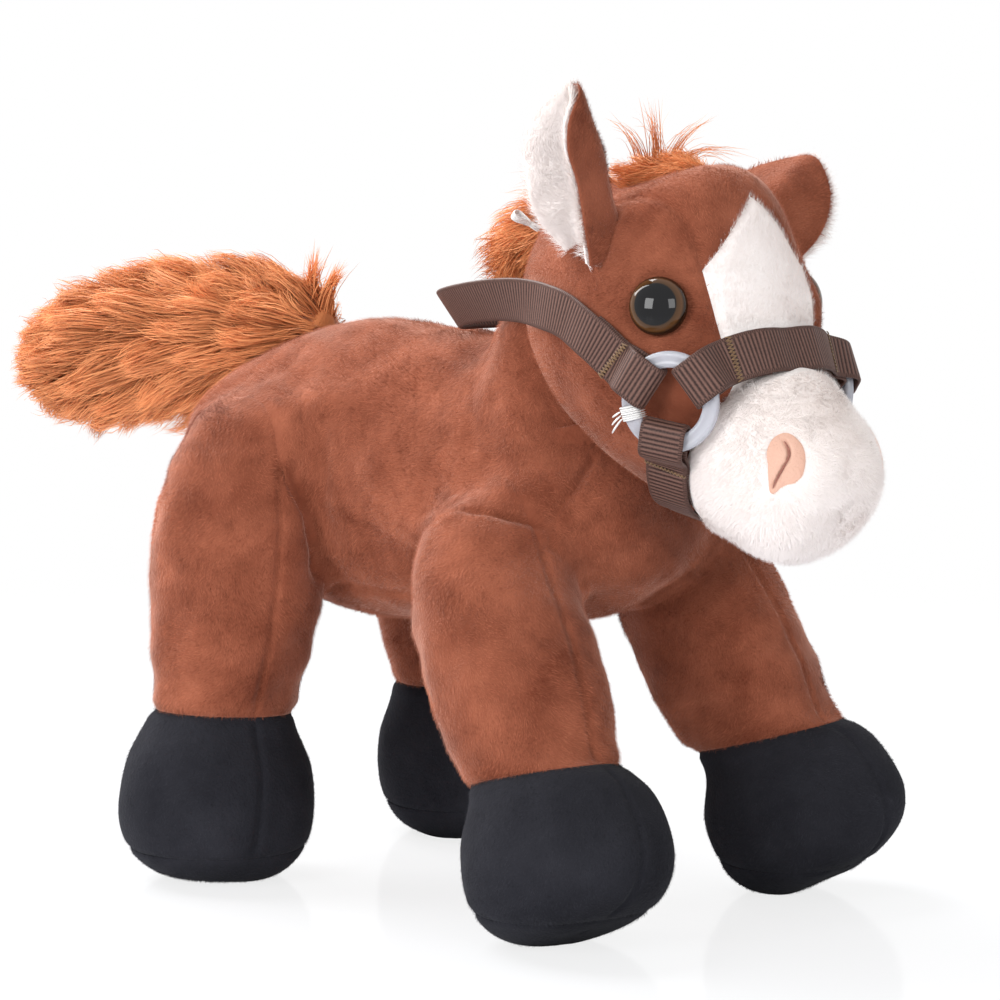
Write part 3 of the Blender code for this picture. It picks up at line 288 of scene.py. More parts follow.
def grid_object(name, grid, finish):
    """A closed object from a grid whose first and last rings are drawn to a point. Faces are wound
    so that the volume is positive. The flat map is the grid itself."""
    rings, sides = grid.shape[:2]
    points = np.concatenate([grid[0].mean(0)[None], grid[1:-1].reshape(-1, 3), grid[-1].mean(0)[None]])
    row, k = np.meshgrid(np.arange(rings - 3), np.arange(sides), indexing="ij")
    after = (k + 1) % sides
    quads = 1 + np.stack([row * sides + k, row * sides + after, (row + 1) * sides + after,
                          (row + 1) * sides + k], -1).reshape(-1, 4)
    k = np.arange(sides)
    after, last = (k + 1) % sides, 1 + (rings - 3) * sides
    first = np.stack([np.zeros(sides, int), 1 + after, 1 + k], -1)
    final = np.stack([np.full(sides, len(points) - 1), last + k, last + after], -1)
    r = (row + 1).reshape(-1)
    c = np.tile(np.arange(sides), rings - 3)
    flat = np.stack([np.stack([(c + du) / sides, (r + dv) / (rings - 1)], -1)
                     for du, dv in ((0, 0), (1, 0), (1, 1), (0, 1))], 1)
    low, high = 1 / (rings - 1), (rings - 2) / (rings - 1)
    ends = [np.stack([np.stack([(k + du) / sides, np.full(sides, v)], -1) for du, v in corner], 1)
            for corner in (((0.5, 0.0), (1, low), (0, low)), ((0.5, 1.0), (0, high), (1, high)))]
    faces, maps = [quads, first, final], [flat, *ends]
    tri = np.concatenate([quads[:, :3], quads[:, [0, 2, 3]], first, final])
    p = points[tri] - points.mean(0)
    if (p[:, 0] * np.cross(p[:, 1], p[:, 2])).sum() < 0:
        faces, maps = [f[:, ::-1] for f in faces], [m[:, ::-1] for m in maps]
    item = make_mesh(name, points, faces, maps)
    item.data.materials.append(finish)
    return item


def grid_values(values):
    """A grid's values in the order of its object's points."""
    return np.concatenate([[values[0].mean()], values[1:-1].ravel(), [values[-1].mean()]])


def crossing(form, u, point, normal):
    """The angle along a form at which each line round it passes a plane, by halving 30 times."""
    low, high = np.zeros_like(u), np.full_like(u, math.pi)
    sign = np.sign((stuffed(form, low, u) - point) @ normal)
    for _ in range(30):
        middle = (low + high) / 2
        before = np.sign((stuffed(form, middle, u) - point) @ normal) == sign
        low, high = np.where(before, middle, low), np.where(before, high, middle)
    return low


def between(form, rings, sides, low=None, high=None):
    """A form's grid between two planes, each a (point, normal), or from end to end. At a plane the
    grid turns in and closes flat, as cloth does behind a seam."""
    u = np.linspace(0, 2 * math.pi, sides + 1)[:-1]
    first = crossing(form, u, *low) if low else np.zeros(sides)
    last = crossing(form, u, *high) if high else np.full(sides, math.pi)
    share = np.linspace(0, 1, rings)[:, None]
    a = first + (last - first) * share
    grid = stuffed(form, a, np.broadcast_to(u, a.shape))
    inwards = np.array([0.0, 0.5, 0.9])[:, None, None]
    if low:
        middle = grid[0].mean(0)
        grid = np.concatenate([middle + (grid[0] - middle) * inwards, grid])
    if high:
        middle = grid[-1].mean(0)
        grid = np.concatenate([grid, middle + (grid[-1] - middle) * inwards[::-1]])
    return grid


def draw_in(grid, point, way, depth, width):
    """A gathered seam: points near a plane move towards their ring's middle, along the plane, by
    the depth times a bell curve of their distance to it."""
    out = grid - grid.mean(1, keepdims=True)
    out = out - way * dot(out, way)
    reach = np.linalg.norm(out, axis=-1, keepdims=True)
    pull = groove((grid - point) @ way, depth, width)[..., None]
    return grid - out / np.maximum(reach, 1e-9) * np.minimum(pull, reach * 0.9)


def still_at(points, *planes):
    """A share that is zero on any of the planes and one from two millimetres away."""
    share = np.ones(len(points))
    for point, way in planes:
        share = np.minimum(share, np.clip(abs((points - point) @ way) / 0.002, 0, 1))
    return share


print("grid helpers ready")

# %% [markdown]
# ## Finishes
#
# Plush is a knitted backing with a dense pile. Its colour seems to shift with the way the pile lies
# and catches the light, from a pale sheen to a deep red-brown. A painted picture could hold those
# shifts; here slow noise on the object's own coordinates paints them into the colour as patches of
# painted sheen and shade, so they stay put when the toy moves, and one node group serves every plush
# colour. The same group paints shade deep in the pile, darker towards each fibre's root. Sheen, which
# is the soft rim light of pile, is also set on each shader.

# %% Helpers for nodes, and the nap group
def new_finish(name, values):
    """A material whose Principled shader has these socket values. Gives the material, its nodes,
    its links and the shader."""
    made = bpy.data.materials.new(name)
    made.use_nodes = True
    shader = made.node_tree.nodes["Principled BSDF"]
    for socket, value in values.items():
        shader.inputs[socket].default_value = value
    return made, made.node_tree.nodes, made.node_tree.links, shader


def new_group(name, inputs, outputs):
    """An empty node group with named sockets, given as (name, kind, value)."""
    group = bpy.data.node_groups.new(name, "ShaderNodeTree")
    for label, kind, value in inputs:
        socket = group.interface.new_socket(label, in_out="INPUT", socket_type="NodeSocket" + kind)
        socket.default_value = value
    for label, kind in outputs:
        group.interface.new_socket(label, in_out="OUTPUT", socket_type="NodeSocket" + kind)
    return group, group.nodes.new("NodeGroupInput"), group.nodes.new("NodeGroupOutput")


def maths(nodes, links, kind, first, second):
    """A Math node of a kind, fed by sockets or numbers."""
    node = nodes.new("ShaderNodeMath")
    node.operation = kind
    for k, value in enumerate((first, second)):
        if isinstance(value, (int, float)):
            node.inputs[k].default_value = value
        else:
            links.new(value, node.inputs[k])
    return node.outputs[0]


def noise_at(nodes, links, scale, detail=2.0, roughness=0.5):
    """Noise on the object's own coordinates."""
    node = nodes.new("ShaderNodeTexNoise")
    node.inputs["Detail"].default_value = detail
    node.inputs["Roughness"].default_value = roughness
    links.new(nodes.new("ShaderNodeTexCoord").outputs["Object"], node.inputs["Vector"])
    if isinstance(scale, (int, float)):
        node.inputs["Scale"].default_value = scale
    else:
        links.new(scale, node.inputs["Scale"])
    return node.outputs["Fac"]


def mixed(nodes, links, factor, low, high):
    """A colour between two, each a socket or a colour."""
    node = nodes.new("ShaderNodeMix")
    node.data_type = "RGBA"
    links.new(factor, node.inputs["Factor"])
    for socket, value in ((node.inputs[6], low), (node.inputs[7], high)):
        if isinstance(value, tuple):
            socket.default_value = (*value, 1)
        else:
            links.new(value, socket)
    return node.outputs[2]


def reading(nodes, name):
    """The number that a mesh keeps for each point under a name."""
    node = nodes.new("ShaderNodeAttribute")
    node.attribute_name = name
    return node.outputs["Fac"]


def about_half(nodes, links, value, share):
    """How far a value is above a half, times a share."""
    return maths(nodes, links, "MULTIPLY", maths(nodes, links, "SUBTRACT", value, 0.5), share)


ROOT_SHADE_SHARE, TONE_SHARE = 0.7, 0.5
nap, taken, given = new_group(
    "nap", (("Deep", "Color", (0, 0, 0, 1)), ("Light", "Color", (1, 1, 1, 1)),
            ("Patch Scale", "Float", 60.0), ("Patch Strength", "Float", 0.5),
            ("Height", "Float", 0.5), ("Tone", "Float", 0.5)),
    (("Color", "Color"),))
# Slow noise paints patches of sheen and shade where the pile lies one way or another.
sheen_and_shade_patches = noise_at(nap.nodes, nap.links, taken.outputs["Patch Scale"], 3.0, 0.55)
swing = about_half(nap.nodes, nap.links, sheen_and_shade_patches, taken.outputs["Patch Strength"])
# Painted shade deep in the pile: the colour darkens towards each fibre's root and pales at its tip; the tone differs at
# random.
lift = about_half(nap.nodes, nap.links, taken.outputs["Height"], ROOT_SHADE_SHARE)
tone = about_half(nap.nodes, nap.links, taken.outputs["Tone"], TONE_SHARE)
total = maths(nap.nodes, nap.links, "ADD", maths(nap.nodes, nap.links, "ADD", swing, lift), tone)
total = maths(nap.nodes, nap.links, "ADD", total, 0.5)
blended = mixed(nap.nodes, nap.links, total, taken.outputs["Deep"], taken.outputs["Light"])
nap.links.new(blended, given.inputs["Color"])
print("nap group sockets:", len(taken.outputs) - 1)

# %% [markdown]
# ## One plush, two finishes
#
# Each plush needs a pair: the pile, whose fibres are painted darker towards the root and paler at the
# tip, as painted shade deep in the pile, and the knitted backing under it, whose colour is painted
# at the darker end as the shade between fibres. The fibres carry their own tone and height, and the
# backing takes a fine knit for its bump.

# %% Plush colours
# Each plush: its deep colour, which is also the painted shade at the fibres' roots and on the backing, its light
# colour, and the scale and strength of its patches of painted sheen and shade.
PLUSH = {
    "brown": ((0.112, 0.024, 0.012), (0.515, 0.176, 0.099), 90.0, 0.85),
    "white": ((0.900, 0.835, 0.805), (0.960, 0.905, 0.885), 60.0, 0.25),
    "black": ((0.006, 0.006, 0.008), (0.052, 0.052, 0.062), 70.0, 0.45),
    "peach": ((0.620, 0.330, 0.240), (0.960, 0.690, 0.560), 150.0, 0.25),
    "russet": ((0.300, 0.070, 0.018), (0.960, 0.400, 0.165), 75.0, 0.40),
}


def plush_finish(colour, fibres):
    """The finish of a plush's fibres, or of its backing."""
    deep, light, scale, strength = PLUSH[colour]
    values = {"Roughness": 0.9, "Specular IOR Level": 0.0, "Sheen Weight": 0.85, "Sheen Roughness": 0.38,
              "Sheen Tint": (1.0, 0.62, 0.50, 1)}
    if colour == "white":
        values.update({"Sheen Weight": 0.20, "Sheen Tint": (1.0, 0.95, 0.93, 1)})
    if colour == "black":
        values.update({"Sheen Weight": 0.06, "Sheen Tint": (1, 1, 1, 1)})
    if colour == "russet":
        values.update({"Roughness": 0.60, "Specular IOR Level": 0.12, "Sheen Weight": 0.20})
    made, nodes, links, shader = new_finish(colour + ("_pile" if fibres else "_backing"), values)
    group = nodes.new("ShaderNodeGroup")
    group.node_tree = nap
    group.inputs["Deep"].default_value = (*deep, 1)
    group.inputs["Light"].default_value = (*light, 1)
    group.inputs["Patch Scale"].default_value = scale
    group.inputs["Patch Strength"].default_value = strength
    if fibres:
        # The fibre's height paints shade towards its root and a paler tip.
        links.new(reading(nodes, "height"), group.inputs["Height"])
        links.new(reading(nodes, "tone"), group.inputs["Tone"])
    else:
        # Painted shade: the backing takes a quarter of the fibre's height, darker, as it shows only in the shade
        # between fibres.
        group.inputs["Height"].default_value = 0.25
        bump = nodes.new("ShaderNodeBump")
        bump.inputs["Distance"].default_value = 0.0004
        bump.inputs["Strength"].default_value = 0.6
        links.new(noise_at(nodes, links, 1500.0), bump.inputs["Height"])
        links.new(bump.outputs["Normal"], shader.inputs["Normal"])
    links.new(group.outputs["Color"], shader.inputs["Base Color"])
    return made


BACKING = {colour: plush_finish(colour, False) for colour in PLUSH}
PILE = {colour: plush_finish(colour, True) for colour in PLUSH}
print("plush finishes:", sorted(PLUSH))

# %% [markdown]
# ## Pile, fibre by fibre
#
# Plush pile is a few hundred fine fibres to the square centimetre, two millimetres long or less,
# brushed one way and ruffled by handling. A hair system would grow it, but a hair system isn't a
# mesh and wouldn't travel with the part. One thin triangle for each fibre does: a face is drawn
# with a chance in proportion to its area, and the fibre leans along the brushed direction.

# %% Short pile
MAPS = {}


def fibre_map(count, levels):
    """A flat map with one cell of a square grid for each fibre, and rows of corners up the cell."""
    if (count, levels) not in MAPS:
        side = math.ceil(math.sqrt(count))
        cell = np.stack([np.arange(count) % side, np.arange(count) // side], -1)[:, None]
        rise = np.repeat(np.linspace(0.1, 0.9, levels), 2)[:-1]
        wide = np.tile([0.1, 0.9], levels)[:-1]
        wide[-1] = 0.5
        MAPS[(count, levels)] = (cell + np.stack([wide, rise], -1)) / side
    return MAPS[(count, levels)]


def fibre_object(name, points, heights, tones, finish, levels):
    """An object of many fibres, each with two points at every level and one at its tip."""
    count, size = points.shape[:2]
    index = np.arange(count)[:, None] * size
    flat = fibre_map(count, levels)
    k = 2 * np.arange(levels - 2)[:, None]
    quads = (k + np.array([0, 1, 3, 2])).reshape(1, -1)
    tip = np.array([[size - 3, size - 2, size - 1]])
    faces, maps = [(index + tip)], [flat[:, tip[0]]]
    if levels > 2:
        faces.append((index[:, :, None] + quads.reshape(1, -1, 4)).reshape(-1, 4))
        maps.append(flat[:, quads[0]].reshape(-1, 4, 2))
    item = make_mesh(name, points.reshape(-1, 3), faces, maps)
    item.data.materials.append(finish)
    paint(item, "height", np.tile(heights, count))
    paint(item, "tone", np.repeat(tones, size))
    return item


def grow_pile(name, grid, colour, density, length, brushed, seed, keep=None, trim=None, width=0.00012,
              lift=0.55, floor=-1.0):
    """Short pile over a grid. A fibre's root is a random point of a face, a fifth of a millimetre
    under it. Its way is the brushed direction along the cloth, turned by slow waves, plus the
    lift along the normal and a little chance. Its base lies square to that way and to the normal,
    so that it shows its flat side. keep says which roots stay, and trim gives a share of length."""
    rng = np.random.default_rng(seed)
    normals = grid_normals(grid)
    corner = [np.stack([g[:-1], np.roll(g[:-1], -1, 1), np.roll(g[1:], -1, 1), g[1:]], 2).reshape(-1, 4, 3)
              for g in (grid, normals)]
    p = corner[0]
    area = np.linalg.norm(np.cross(p[:, 2] - p[:, 0], p[:, 3] - p[:, 1]), axis=1) / 2
    total = np.cumsum(area)
    count = int(total[-1] * 1e6 * density)
    face = np.searchsorted(total, rng.random(count) * total[-1])
    s, t = rng.random((2, count, 1))
    weights = np.concatenate([(1 - s) * (1 - t), s * (1 - t), s * t, (1 - s) * t], 1)[..., None]
    root = (p[face] * weights).sum(1)
    normal = unit((corner[1][face] * weights).sum(1))
    chosen = rng.random((count, 8))
    if keep is not None:
        kept = keep(root, normal)
        root, normal, chosen = root[kept], normal[kept], chosen[kept]
    count = len(root)
    drift = np.stack([slow_waves(root, 0.030, seed + k) for k in range(3)], -1)
    ruffle = np.stack([slow_waves(root, 0.009, seed + 5 + k) for k in range(3)], -1)
    combed = brushed(root) if callable(brushed) else brushed
    lay = combed + 0.75 * drift + 0.45 * ruffle + (chosen[:, :3] - 0.5) * 0.8
    lay = unit(lay - normal * dot(lay, normal))
    rise = lift + 0.22 * slow_waves(root, 0.022, seed + 9) + (chosen[:, 3] - 0.5) * 0.4
    way = unit(lay + normal * np.clip(rise, 0.15, 3)[:, None])
    reach = length * (0.7 + 0.6 * chosen[:, 4])
    if trim is not None:
        reach = reach * trim(root)
    across = unit(np.cross(normal, way)) * (width * (0.35 + 0.3 * chosen[:, 5]))[:, None]
    low = root - normal * 0.0002
    tip = low + way * reach[:, None]
    tip[:, 2] = np.maximum(tip[:, 2], floor)
    low[:, 2] = np.maximum(low[:, 2], floor)
    points = np.stack([low + across, low - across, tip], 1)
    tones = np.clip(0.5 + 0.3 * slow_waves(root, 0.005, seed + 13) + (chosen[:, 6] - 0.5) * 0.7, 0, 1)
    item = fibre_object(name, points, np.array([0.0, 0.0, 1.0]), tones, PILE[colour], 2)
    print(name, count, "fibres on", round(total[-1] * 1e6), "mm2")
    return item


SHARE = 1.0
BROWN_DENSE, BROWN_LONG = 8.5, 0.0015  # fibres to the square millimetre, and metres
print("share of the fibres grown:", SHARE)

# %% [markdown]
# ## Torso
#
# Two side panels meet in a seam along the back, and a third panel closes the chest and belly
# between two more seams. The three are one skin once they are stuffed, so one grid carries them,
# with the seams pressed into it. Near the neck and the legs the skin lifts in a hollow join.

# %% Torso cloth and pile
def mirror(points):
    """The same points on the horse's other side."""
    return points * np.array([-1.0, 1.0, 1.0])


LEGS = {(pair, name): form for pair, form in (("front", FRONT), ("hind", HIND)) for name in ("right", "left")}


def to_right(points, name):
    """A left leg's points, mirrored to be measured against the right leg's form."""
    return mirror(points) if name == "left" else points


def hip_width(points, pair):
    """How wide a leg's join is: narrow in front of the thigh, where the cloth folds, and wide
    behind and above it."""
    if pair == "front":
        return 0.0050 + 0.0120 * np.clip((points[:, 2] - 0.062) / 0.020, 0, 1)
    behind = np.clip((points[:, 1] - HIND[0][1] + 0.004) / 0.022, 0, 1)
    above = np.clip((points[:, 2] - 0.084) / 0.022, 0, 1)
    low = np.clip((0.128 - points[:, 2]) / 0.022, 0.25, 1)
    return 0.0022 + 0.0188 * np.maximum(behind, above) * low


def press(grid, lift):
    """Moves each point of a grid along its normal."""
    return grid + grid_normals(grid) * lift[..., None]


def smoothed(values, times):
    """A grid's values, each the mean of itself and its four neighbours, some times over."""
    for _ in range(times):
        ends = np.concatenate([values[:1], values, values[-1:]])
        values = (values + ends[:-2] + ends[2:] + np.roll(values, 1, 1) + np.roll(values, -1, 1)) / 5
    return values


JOINS = [(form, name, (lambda points, pair=pair: hip_width(points, pair))) for (pair, name), form in LEGS.items()]
JOINS.append((NECK, "right", lambda points: np.full(len(points), 0.011)))


def body_skin(points):
    """The distance to the torso, joined softly in turn to each leg's and the neck's."""
    distance = off_form(TORSO, points)
    for form, name, width in JOINS:
        distance = soft_least(distance, off_form(form, to_right(points, name)), width(points))
    return distance


def joined(grid, neighbours):
    """Lifts a grid along its normals onto the body's one skin, near neighbours that are given as
    (form, side, width of the join). The lift of a point grows in six steps by the skin's distance
    there over the rate at which that falls, fades from one and a half to four millimetres inside
    a neighbour, and is smoothed over the grid."""
    flat, normals = grid.reshape(-1, 3), grid_normals(grid).reshape(-1, 3)
    away = [off_form(form, to_right(flat, name)) for form, name, width in neighbours]
    share = np.clip((np.min(away, axis=0) + 0.0040) / 0.0025, 0, 1)
    near = np.min([a - 1.2 * width(flat) for a, (form, name, width) in zip(away, neighbours)], axis=0) < 0
    points, ways, rise = flat[near], normals[near], np.zeros(near.sum())
    for _ in range(6):
        here = body_skin(points + ways * rise[:, None])
        rate = (body_skin(points + ways * (rise + 0.0003)[:, None]) - here) / 0.0003
        rise = np.clip(rise - here / np.clip(rate, 0.5, 1.5), 0, 0.009)
    lift = np.zeros(len(flat))
    lift[near] = rise
    return press(grid, smoothed((lift * share).reshape(grid.shape[:2]), 5))


def body_waves(points):
    """The unevenness of the filling, the same on both sides of the toy: waves of 34 and 12 mm."""
    same = np.abs(points) * np.array([1.0, 0, 0]) + points * np.array([0, 1.0, 1.0])
    return 0.0008 * slow_waves(same, 0.034, 3) + 0.00035 * slow_waves(same, 0.012, 4)


# %% [markdown]
# ## Folds and seams of the body
#
# Stuffed cloth creases where it is drawn in: at the flank, at the thigh and over the shoulder. A
# simulation would put creases where it likes. Here each has a route over the toy, as a cutter
# marks one on the cloth, and the cloth is pressed in along it.

# %% Folds
def fold_off(points, route):
    """The distance to a fold's route: the least distance to any of its straight pieces."""
    best = np.full(len(points), 1.0)
    for first, last in zip(route[:-1], route[1:]):
        along = np.clip(((points - first) @ (last - first)) / ((last - first) @ (last - first)), 0, 1)
        best = np.minimum(best, np.linalg.norm(points - first - along[:, None] * (last - first), axis=1))
    return best


FOLDS = (
    # depth, width, route: the flank's crease, the thigh's fold, the crease over the shoulder, the
    # seam round the front leg's top and the seam of the chest
    (0.0012, 0.0022, ((-0.0285, -0.0031, 0.0999), (-0.0284, -0.0033, 0.0914), (-0.0272, -0.0019, 0.0811))),
    (0.0034, 0.0021, ((-0.0323, 0.0018, 0.0909), (-0.0305, 0.0005, 0.0865), (-0.0286, -0.0003, 0.0818),
                      (-0.0279, -0.0007, 0.0762), (-0.0271, -0.0005, 0.0711), (-0.0215, -0.0020, 0.0640))),
    (0.0009, 0.0018, ((-0.0210, -0.0400, 0.1180), (-0.0250, -0.0430, 0.1080), (-0.0262, -0.0470, 0.0990))),
    (0.0011, 0.0009, ((-0.0260, -0.0290, 0.0748), (-0.0320, -0.0400, 0.0815), (-0.0364, -0.0493, 0.0851),
                      (-0.0366, -0.0580, 0.0863), (-0.0333, -0.0648, 0.0853), (-0.0282, -0.0699, 0.0839))),
    (0.0009, 0.0009, ((-0.0163, -0.0723, 0.0971), (-0.0216, -0.0721, 0.0916), (-0.0257, -0.0704, 0.0864),
                      (-0.0280, -0.0715, 0.0801), (-0.0190, -0.0721, 0.0707))),
)


def folded(points):
    """How deep the cloth's folds are at points on either side: a bell curve of the distance to
    each fold's route."""
    right = points.copy()
    right[:, 0] = -abs(right[:, 0])
    return sum(groove(fold_off(right, np.array(route)), depth, width) for depth, width, route in FOLDS)


def dress_torso():
    """The torso's grid, joined to its neighbours, uneven, and pressed in at seams and folds."""
    grid = joined(between(TORSO, 200, 240), JOINS)
    flat = grid.reshape(-1, 3)
    x, z = flat[:, 0], flat[:, 2]
    lift = body_waves(flat)
    lift = lift - np.where(z > 0.10, groove(x, 0.0006, 0.0008), 0)
    lift = lift - np.where(z < 0.070, groove(abs(x) - 0.0185, 0.0008, 0.0008), 0)
    lift = lift - folded(flat)
    return press(grid, lift.reshape(grid.shape[:2]))


torso = dress_torso()
item = grid_object("torso_cloth", torso, BACKING["brown"])
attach(item, "torso")
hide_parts("belly_panel", "torso_side_right", "torso_side_left", "torso_filling")


def outside(*forms, own=None):
    """A test of roots: at most a millimetre and a half inside any of the forms, or, where two
    forms share one skin, at most a millimetre nearer to the other one."""
    def test(root, normal):
        kept = np.ones(len(root), bool)
        limit = -0.0015 if own is None else off_form(own, root) - 0.0010
        for form, name in forms:
            kept &= off_form(form, to_right(root, name)) > limit
        return kept
    return test


DOWN_BACK, DOWN_LEG = toward(0, -0.9, -0.55), toward(0, -0.15, -1)


def brushed_torso(root):
    """The torso's lay, which turns into a leg's over the twelve millimetres beside it."""
    near = np.min([off_form(form, to_right(root, name)) for form, name, width in JOINS[:4]], axis=0)
    share = np.clip(1 - near / 0.012, 0, 1)[:, None]
    return DOWN_BACK * (1 - share) + DOWN_LEG * share


leg_forms = [(form, name) for form, name, width in JOINS[:4]]
beside_legs, off_tail = outside(*leg_forms, (NECK, "right"), own=TORSO), outside((TAIL, "right"))
item = grow_pile("torso_pile", torso, "brown", BROWN_DENSE * SHARE, BROWN_LONG, brushed_torso, 11,
                 keep=lambda root, normal: beside_legs(root, normal) & off_tail(root, normal))
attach(item, "torso")

# %% [markdown]
# ## Legs and hooves
#
# A leg is a brown sleeve sewn to a black hoof cup, with a seam down its front and back and a black
# sole under it. It is sewn to the belly rather than turning on a pin, and its cloth blends from the
# torso into the leg over its top.

# %% Leg, hoof and sole
SOLE = 0.0075
SEAM_SHARE = {"front": 0.63, "hind": 0.635}
SEAM_TURN = {"front": 0.0, "hind": math.radians(15)}


def dress_leg(pair, part):
    """The right leg's grid of one part: the sleeve, the hoof cup or the sole."""
    form = LEGS[(pair, "right")]
    start, end = form[0], form[1]
    seam = start + (end - start) * SEAM_SHARE[pair]
    normal = unit(unit(end - start) * 0.5 - UP * 0.5)
    sole = np.array([0, 0, SOLE])
    cut = {"sleeve": (None, (seam, normal)), "hoof": ((seam, normal), (sole, -UP)), "sole": ((sole, -UP), None)}
    low, high = cut[part]
    rings = {"sleeve": 130, "hoof": 80, "sole": 40}[part]
    grid = between(form, rings, 150, low, high)
    if part == "sleeve":
        whole = joined(grid[:-3], [(TORSO, "right", lambda points: hip_width(points, pair))])
        grid = np.concatenate([whole, grid[-3:]])
    flat = grid.reshape(-1, 3)
    lift = body_waves(flat) - folded(flat) if part == "sleeve" else 0.0003 * slow_waves(flat, 0.020, 23)
    planes = [(seam, normal), (sole, UP)]
    line = unit(end - start)
    axis = flat - start - np.outer((flat - start) @ line, line)
    angle = np.arctan2(-axis[:, 0], -axis[:, 1])
    radius = np.linalg.norm(axis, axis=1)
    for turn in (SEAM_TURN[pair], SEAM_TURN[pair] + math.pi):
        away = (angle - turn + math.pi) % (2 * math.pi) - math.pi
        lift -= groove(away * radius, 0.0007, 0.0008) * (part != "sole")
    grid = press(grid, (lift * still_at(flat, *planes)).reshape(grid.shape[:2]))
    grid = draw_in(grid, seam, normal, 0.0009, 0.0012)
    grid = draw_in(grid, sole, UP, 0.0004, 0.0007)
    grid[..., 2] = np.maximum(grid[..., 2], 0.0)
    return grid


leg_parts = {}
for pair in ("front", "hind"):
    for part in ("sleeve", "hoof", "sole"):
        leg_parts[pair, part] = dress_leg(pair, part)

for (pair, part), right in leg_parts.items():
    colour = "brown" if part == "sleeve" else "black"
    nodes = {"sleeve": ("leg_skin", "leg_filling"), "hoof": ("hoof_skin",), "sole": ("sole",)}[part]
    for name in ("right", "left"):
        grid = right if name == "right" else mirror(right)
        body = f"{pair}_leg_{name}"
        item = grid_object(f"{pair}_{part}_cloth_{name}", grid, BACKING[colour])
        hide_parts(*[f"{pair}_{node}_{name}" for node in nodes])
        near = outside((TORSO, "right"), own=LEGS[pair, "right"])
        combed = toward(0, -0.15, -1) if part != "sole" else toward(0, -1, -0.2)
        seed = 31 + 7 * len(body) + {"sleeve": 0, "hoof": 1, "sole": 2}[part]
        if part == "sleeve":
            fur = grow_pile(f"{pair}_{part}_pile_{name}", grid, colour, BROWN_DENSE * SHARE, BROWN_LONG, combed, seed,
                            keep=lambda root, normal: near(to_right(root, name), normal))
        else:
            raised = (lambda root, normal: root[:, 2] > 0.0004)
            fur = grow_pile(f"{pair}_{part}_pile_{name}", grid, colour, 6.5 * SHARE, 0.0010, combed, seed,
                            keep=raised, width=0.00011, floor=0.0001)
        for one in (item, fur):
            if part == "sleeve":
                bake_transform(one)
            else:
                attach(one, body)

# %% [markdown]
# ## The halter's route
#
# The straps lie on the head a hair's breadth off the cloth, so their routes are needed before the
# pile is grown: under a strap the pile is pressed flat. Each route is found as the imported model's
# was, by looking for the head's surface along a few directions, and then smoothed.

# %% The head's surface and the straps' routes
HEAD_LONG = 0.084
GAP, OVERRUN, CLEAR = 0.0003, 0.060, 0.0005
WIDTH, THICK = 0.0095, 0.0008
RING, BAR, BAR_HIGH, RING_ALONG = 0.0205, 0.0034, 0.0022, 0.0242


def surface_tree(*forms):
    """A search tree over forms, each sampled on a grid of 40 by 40."""
    a, u = np.meshgrid(np.linspace(0, math.pi, 41), np.linspace(0, 2 * math.pi, 41)[:-1], indexing="ij")
    grids = [stuffed(form, a, u) for form in forms]
    row, k = np.meshgrid(np.arange(40), np.arange(40), indexing="ij")
    after = (k + 1) % 40
    quads = np.stack([row * 40 + k, row * 40 + after, (row + 1) * 40 + after, (row + 1) * 40 + k], -1)
    faces = np.concatenate([quads.reshape(-1, 4) + n * 41 * 40 for n in range(len(grids))])
    return BVHTree.FromPolygons(np.concatenate([g.reshape(-1, 3) for g in grids]).tolist(), faces.tolist())


head_tree = surface_tree(HEAD, MUZZLE)


def first_hit(start, way):
    """Where a line first meets the head, or nothing."""
    hit = head_tree.ray_cast(Vector(start), Vector(way))[0]
    return None if hit is None else np.array(hit)


def on_surface(target, way, spread=0.0015):
    """The head's outermost point on the line through a target, and the normal there, from the
    cross of two chords on either side."""
    right = unit(np.array(Vector(way).orthogonal()))
    up = np.cross(way, right)
    hits = [first_hit(target + way * OVERRUN + right * a * spread + up * b * spread, -way)
            for a, b in ((0, 0), (1, 0), (-1, 0), (0, 1), (0, -1))]
    if any(hit is None for hit in hits):
        return hits[0], way
    normal = unit(np.cross(hits[1] - hits[2], hits[3] - hits[4]))
    return hits[0], normal * (1 if normal @ way > 0 else -1)


def ring_frame():
    """The right ring's middle, its normal, and forward and up in its plane."""
    place, normal = on_surface(on_head(0, RING_ALONG, 0), -SIDE, RING / 2)
    forward = unit(HEAD_AXIS - normal * (HEAD_AXIS @ normal))
    up = np.cross(forward, normal)
    return place + normal * 0.0034, normal, forward, up * (1 if up @ HEAD_CREST > 0 else -1)


def lifted(route):
    """Raises (place, normal) points until a strap's whole width is clear of the head."""
    path = []
    for k, (place, normal) in enumerate(route):
        ahead = route[min(k + 1, len(route) - 1)][0] - route[max(k - 1, 0)][0]
        across = unit(np.cross(normal, ahead))
        hits = [first_hit(place + across * share * WIDTH + normal * OVERRUN, -normal)
                for share in (-0.5, -0.25, 0, 0.25, 0.5)]
        high = max([0] + [(hit - place) @ normal for hit in hits if hit is not None])
        path.append((place + normal * (high + CLEAR + THICK / 2), across, normal))
    return path


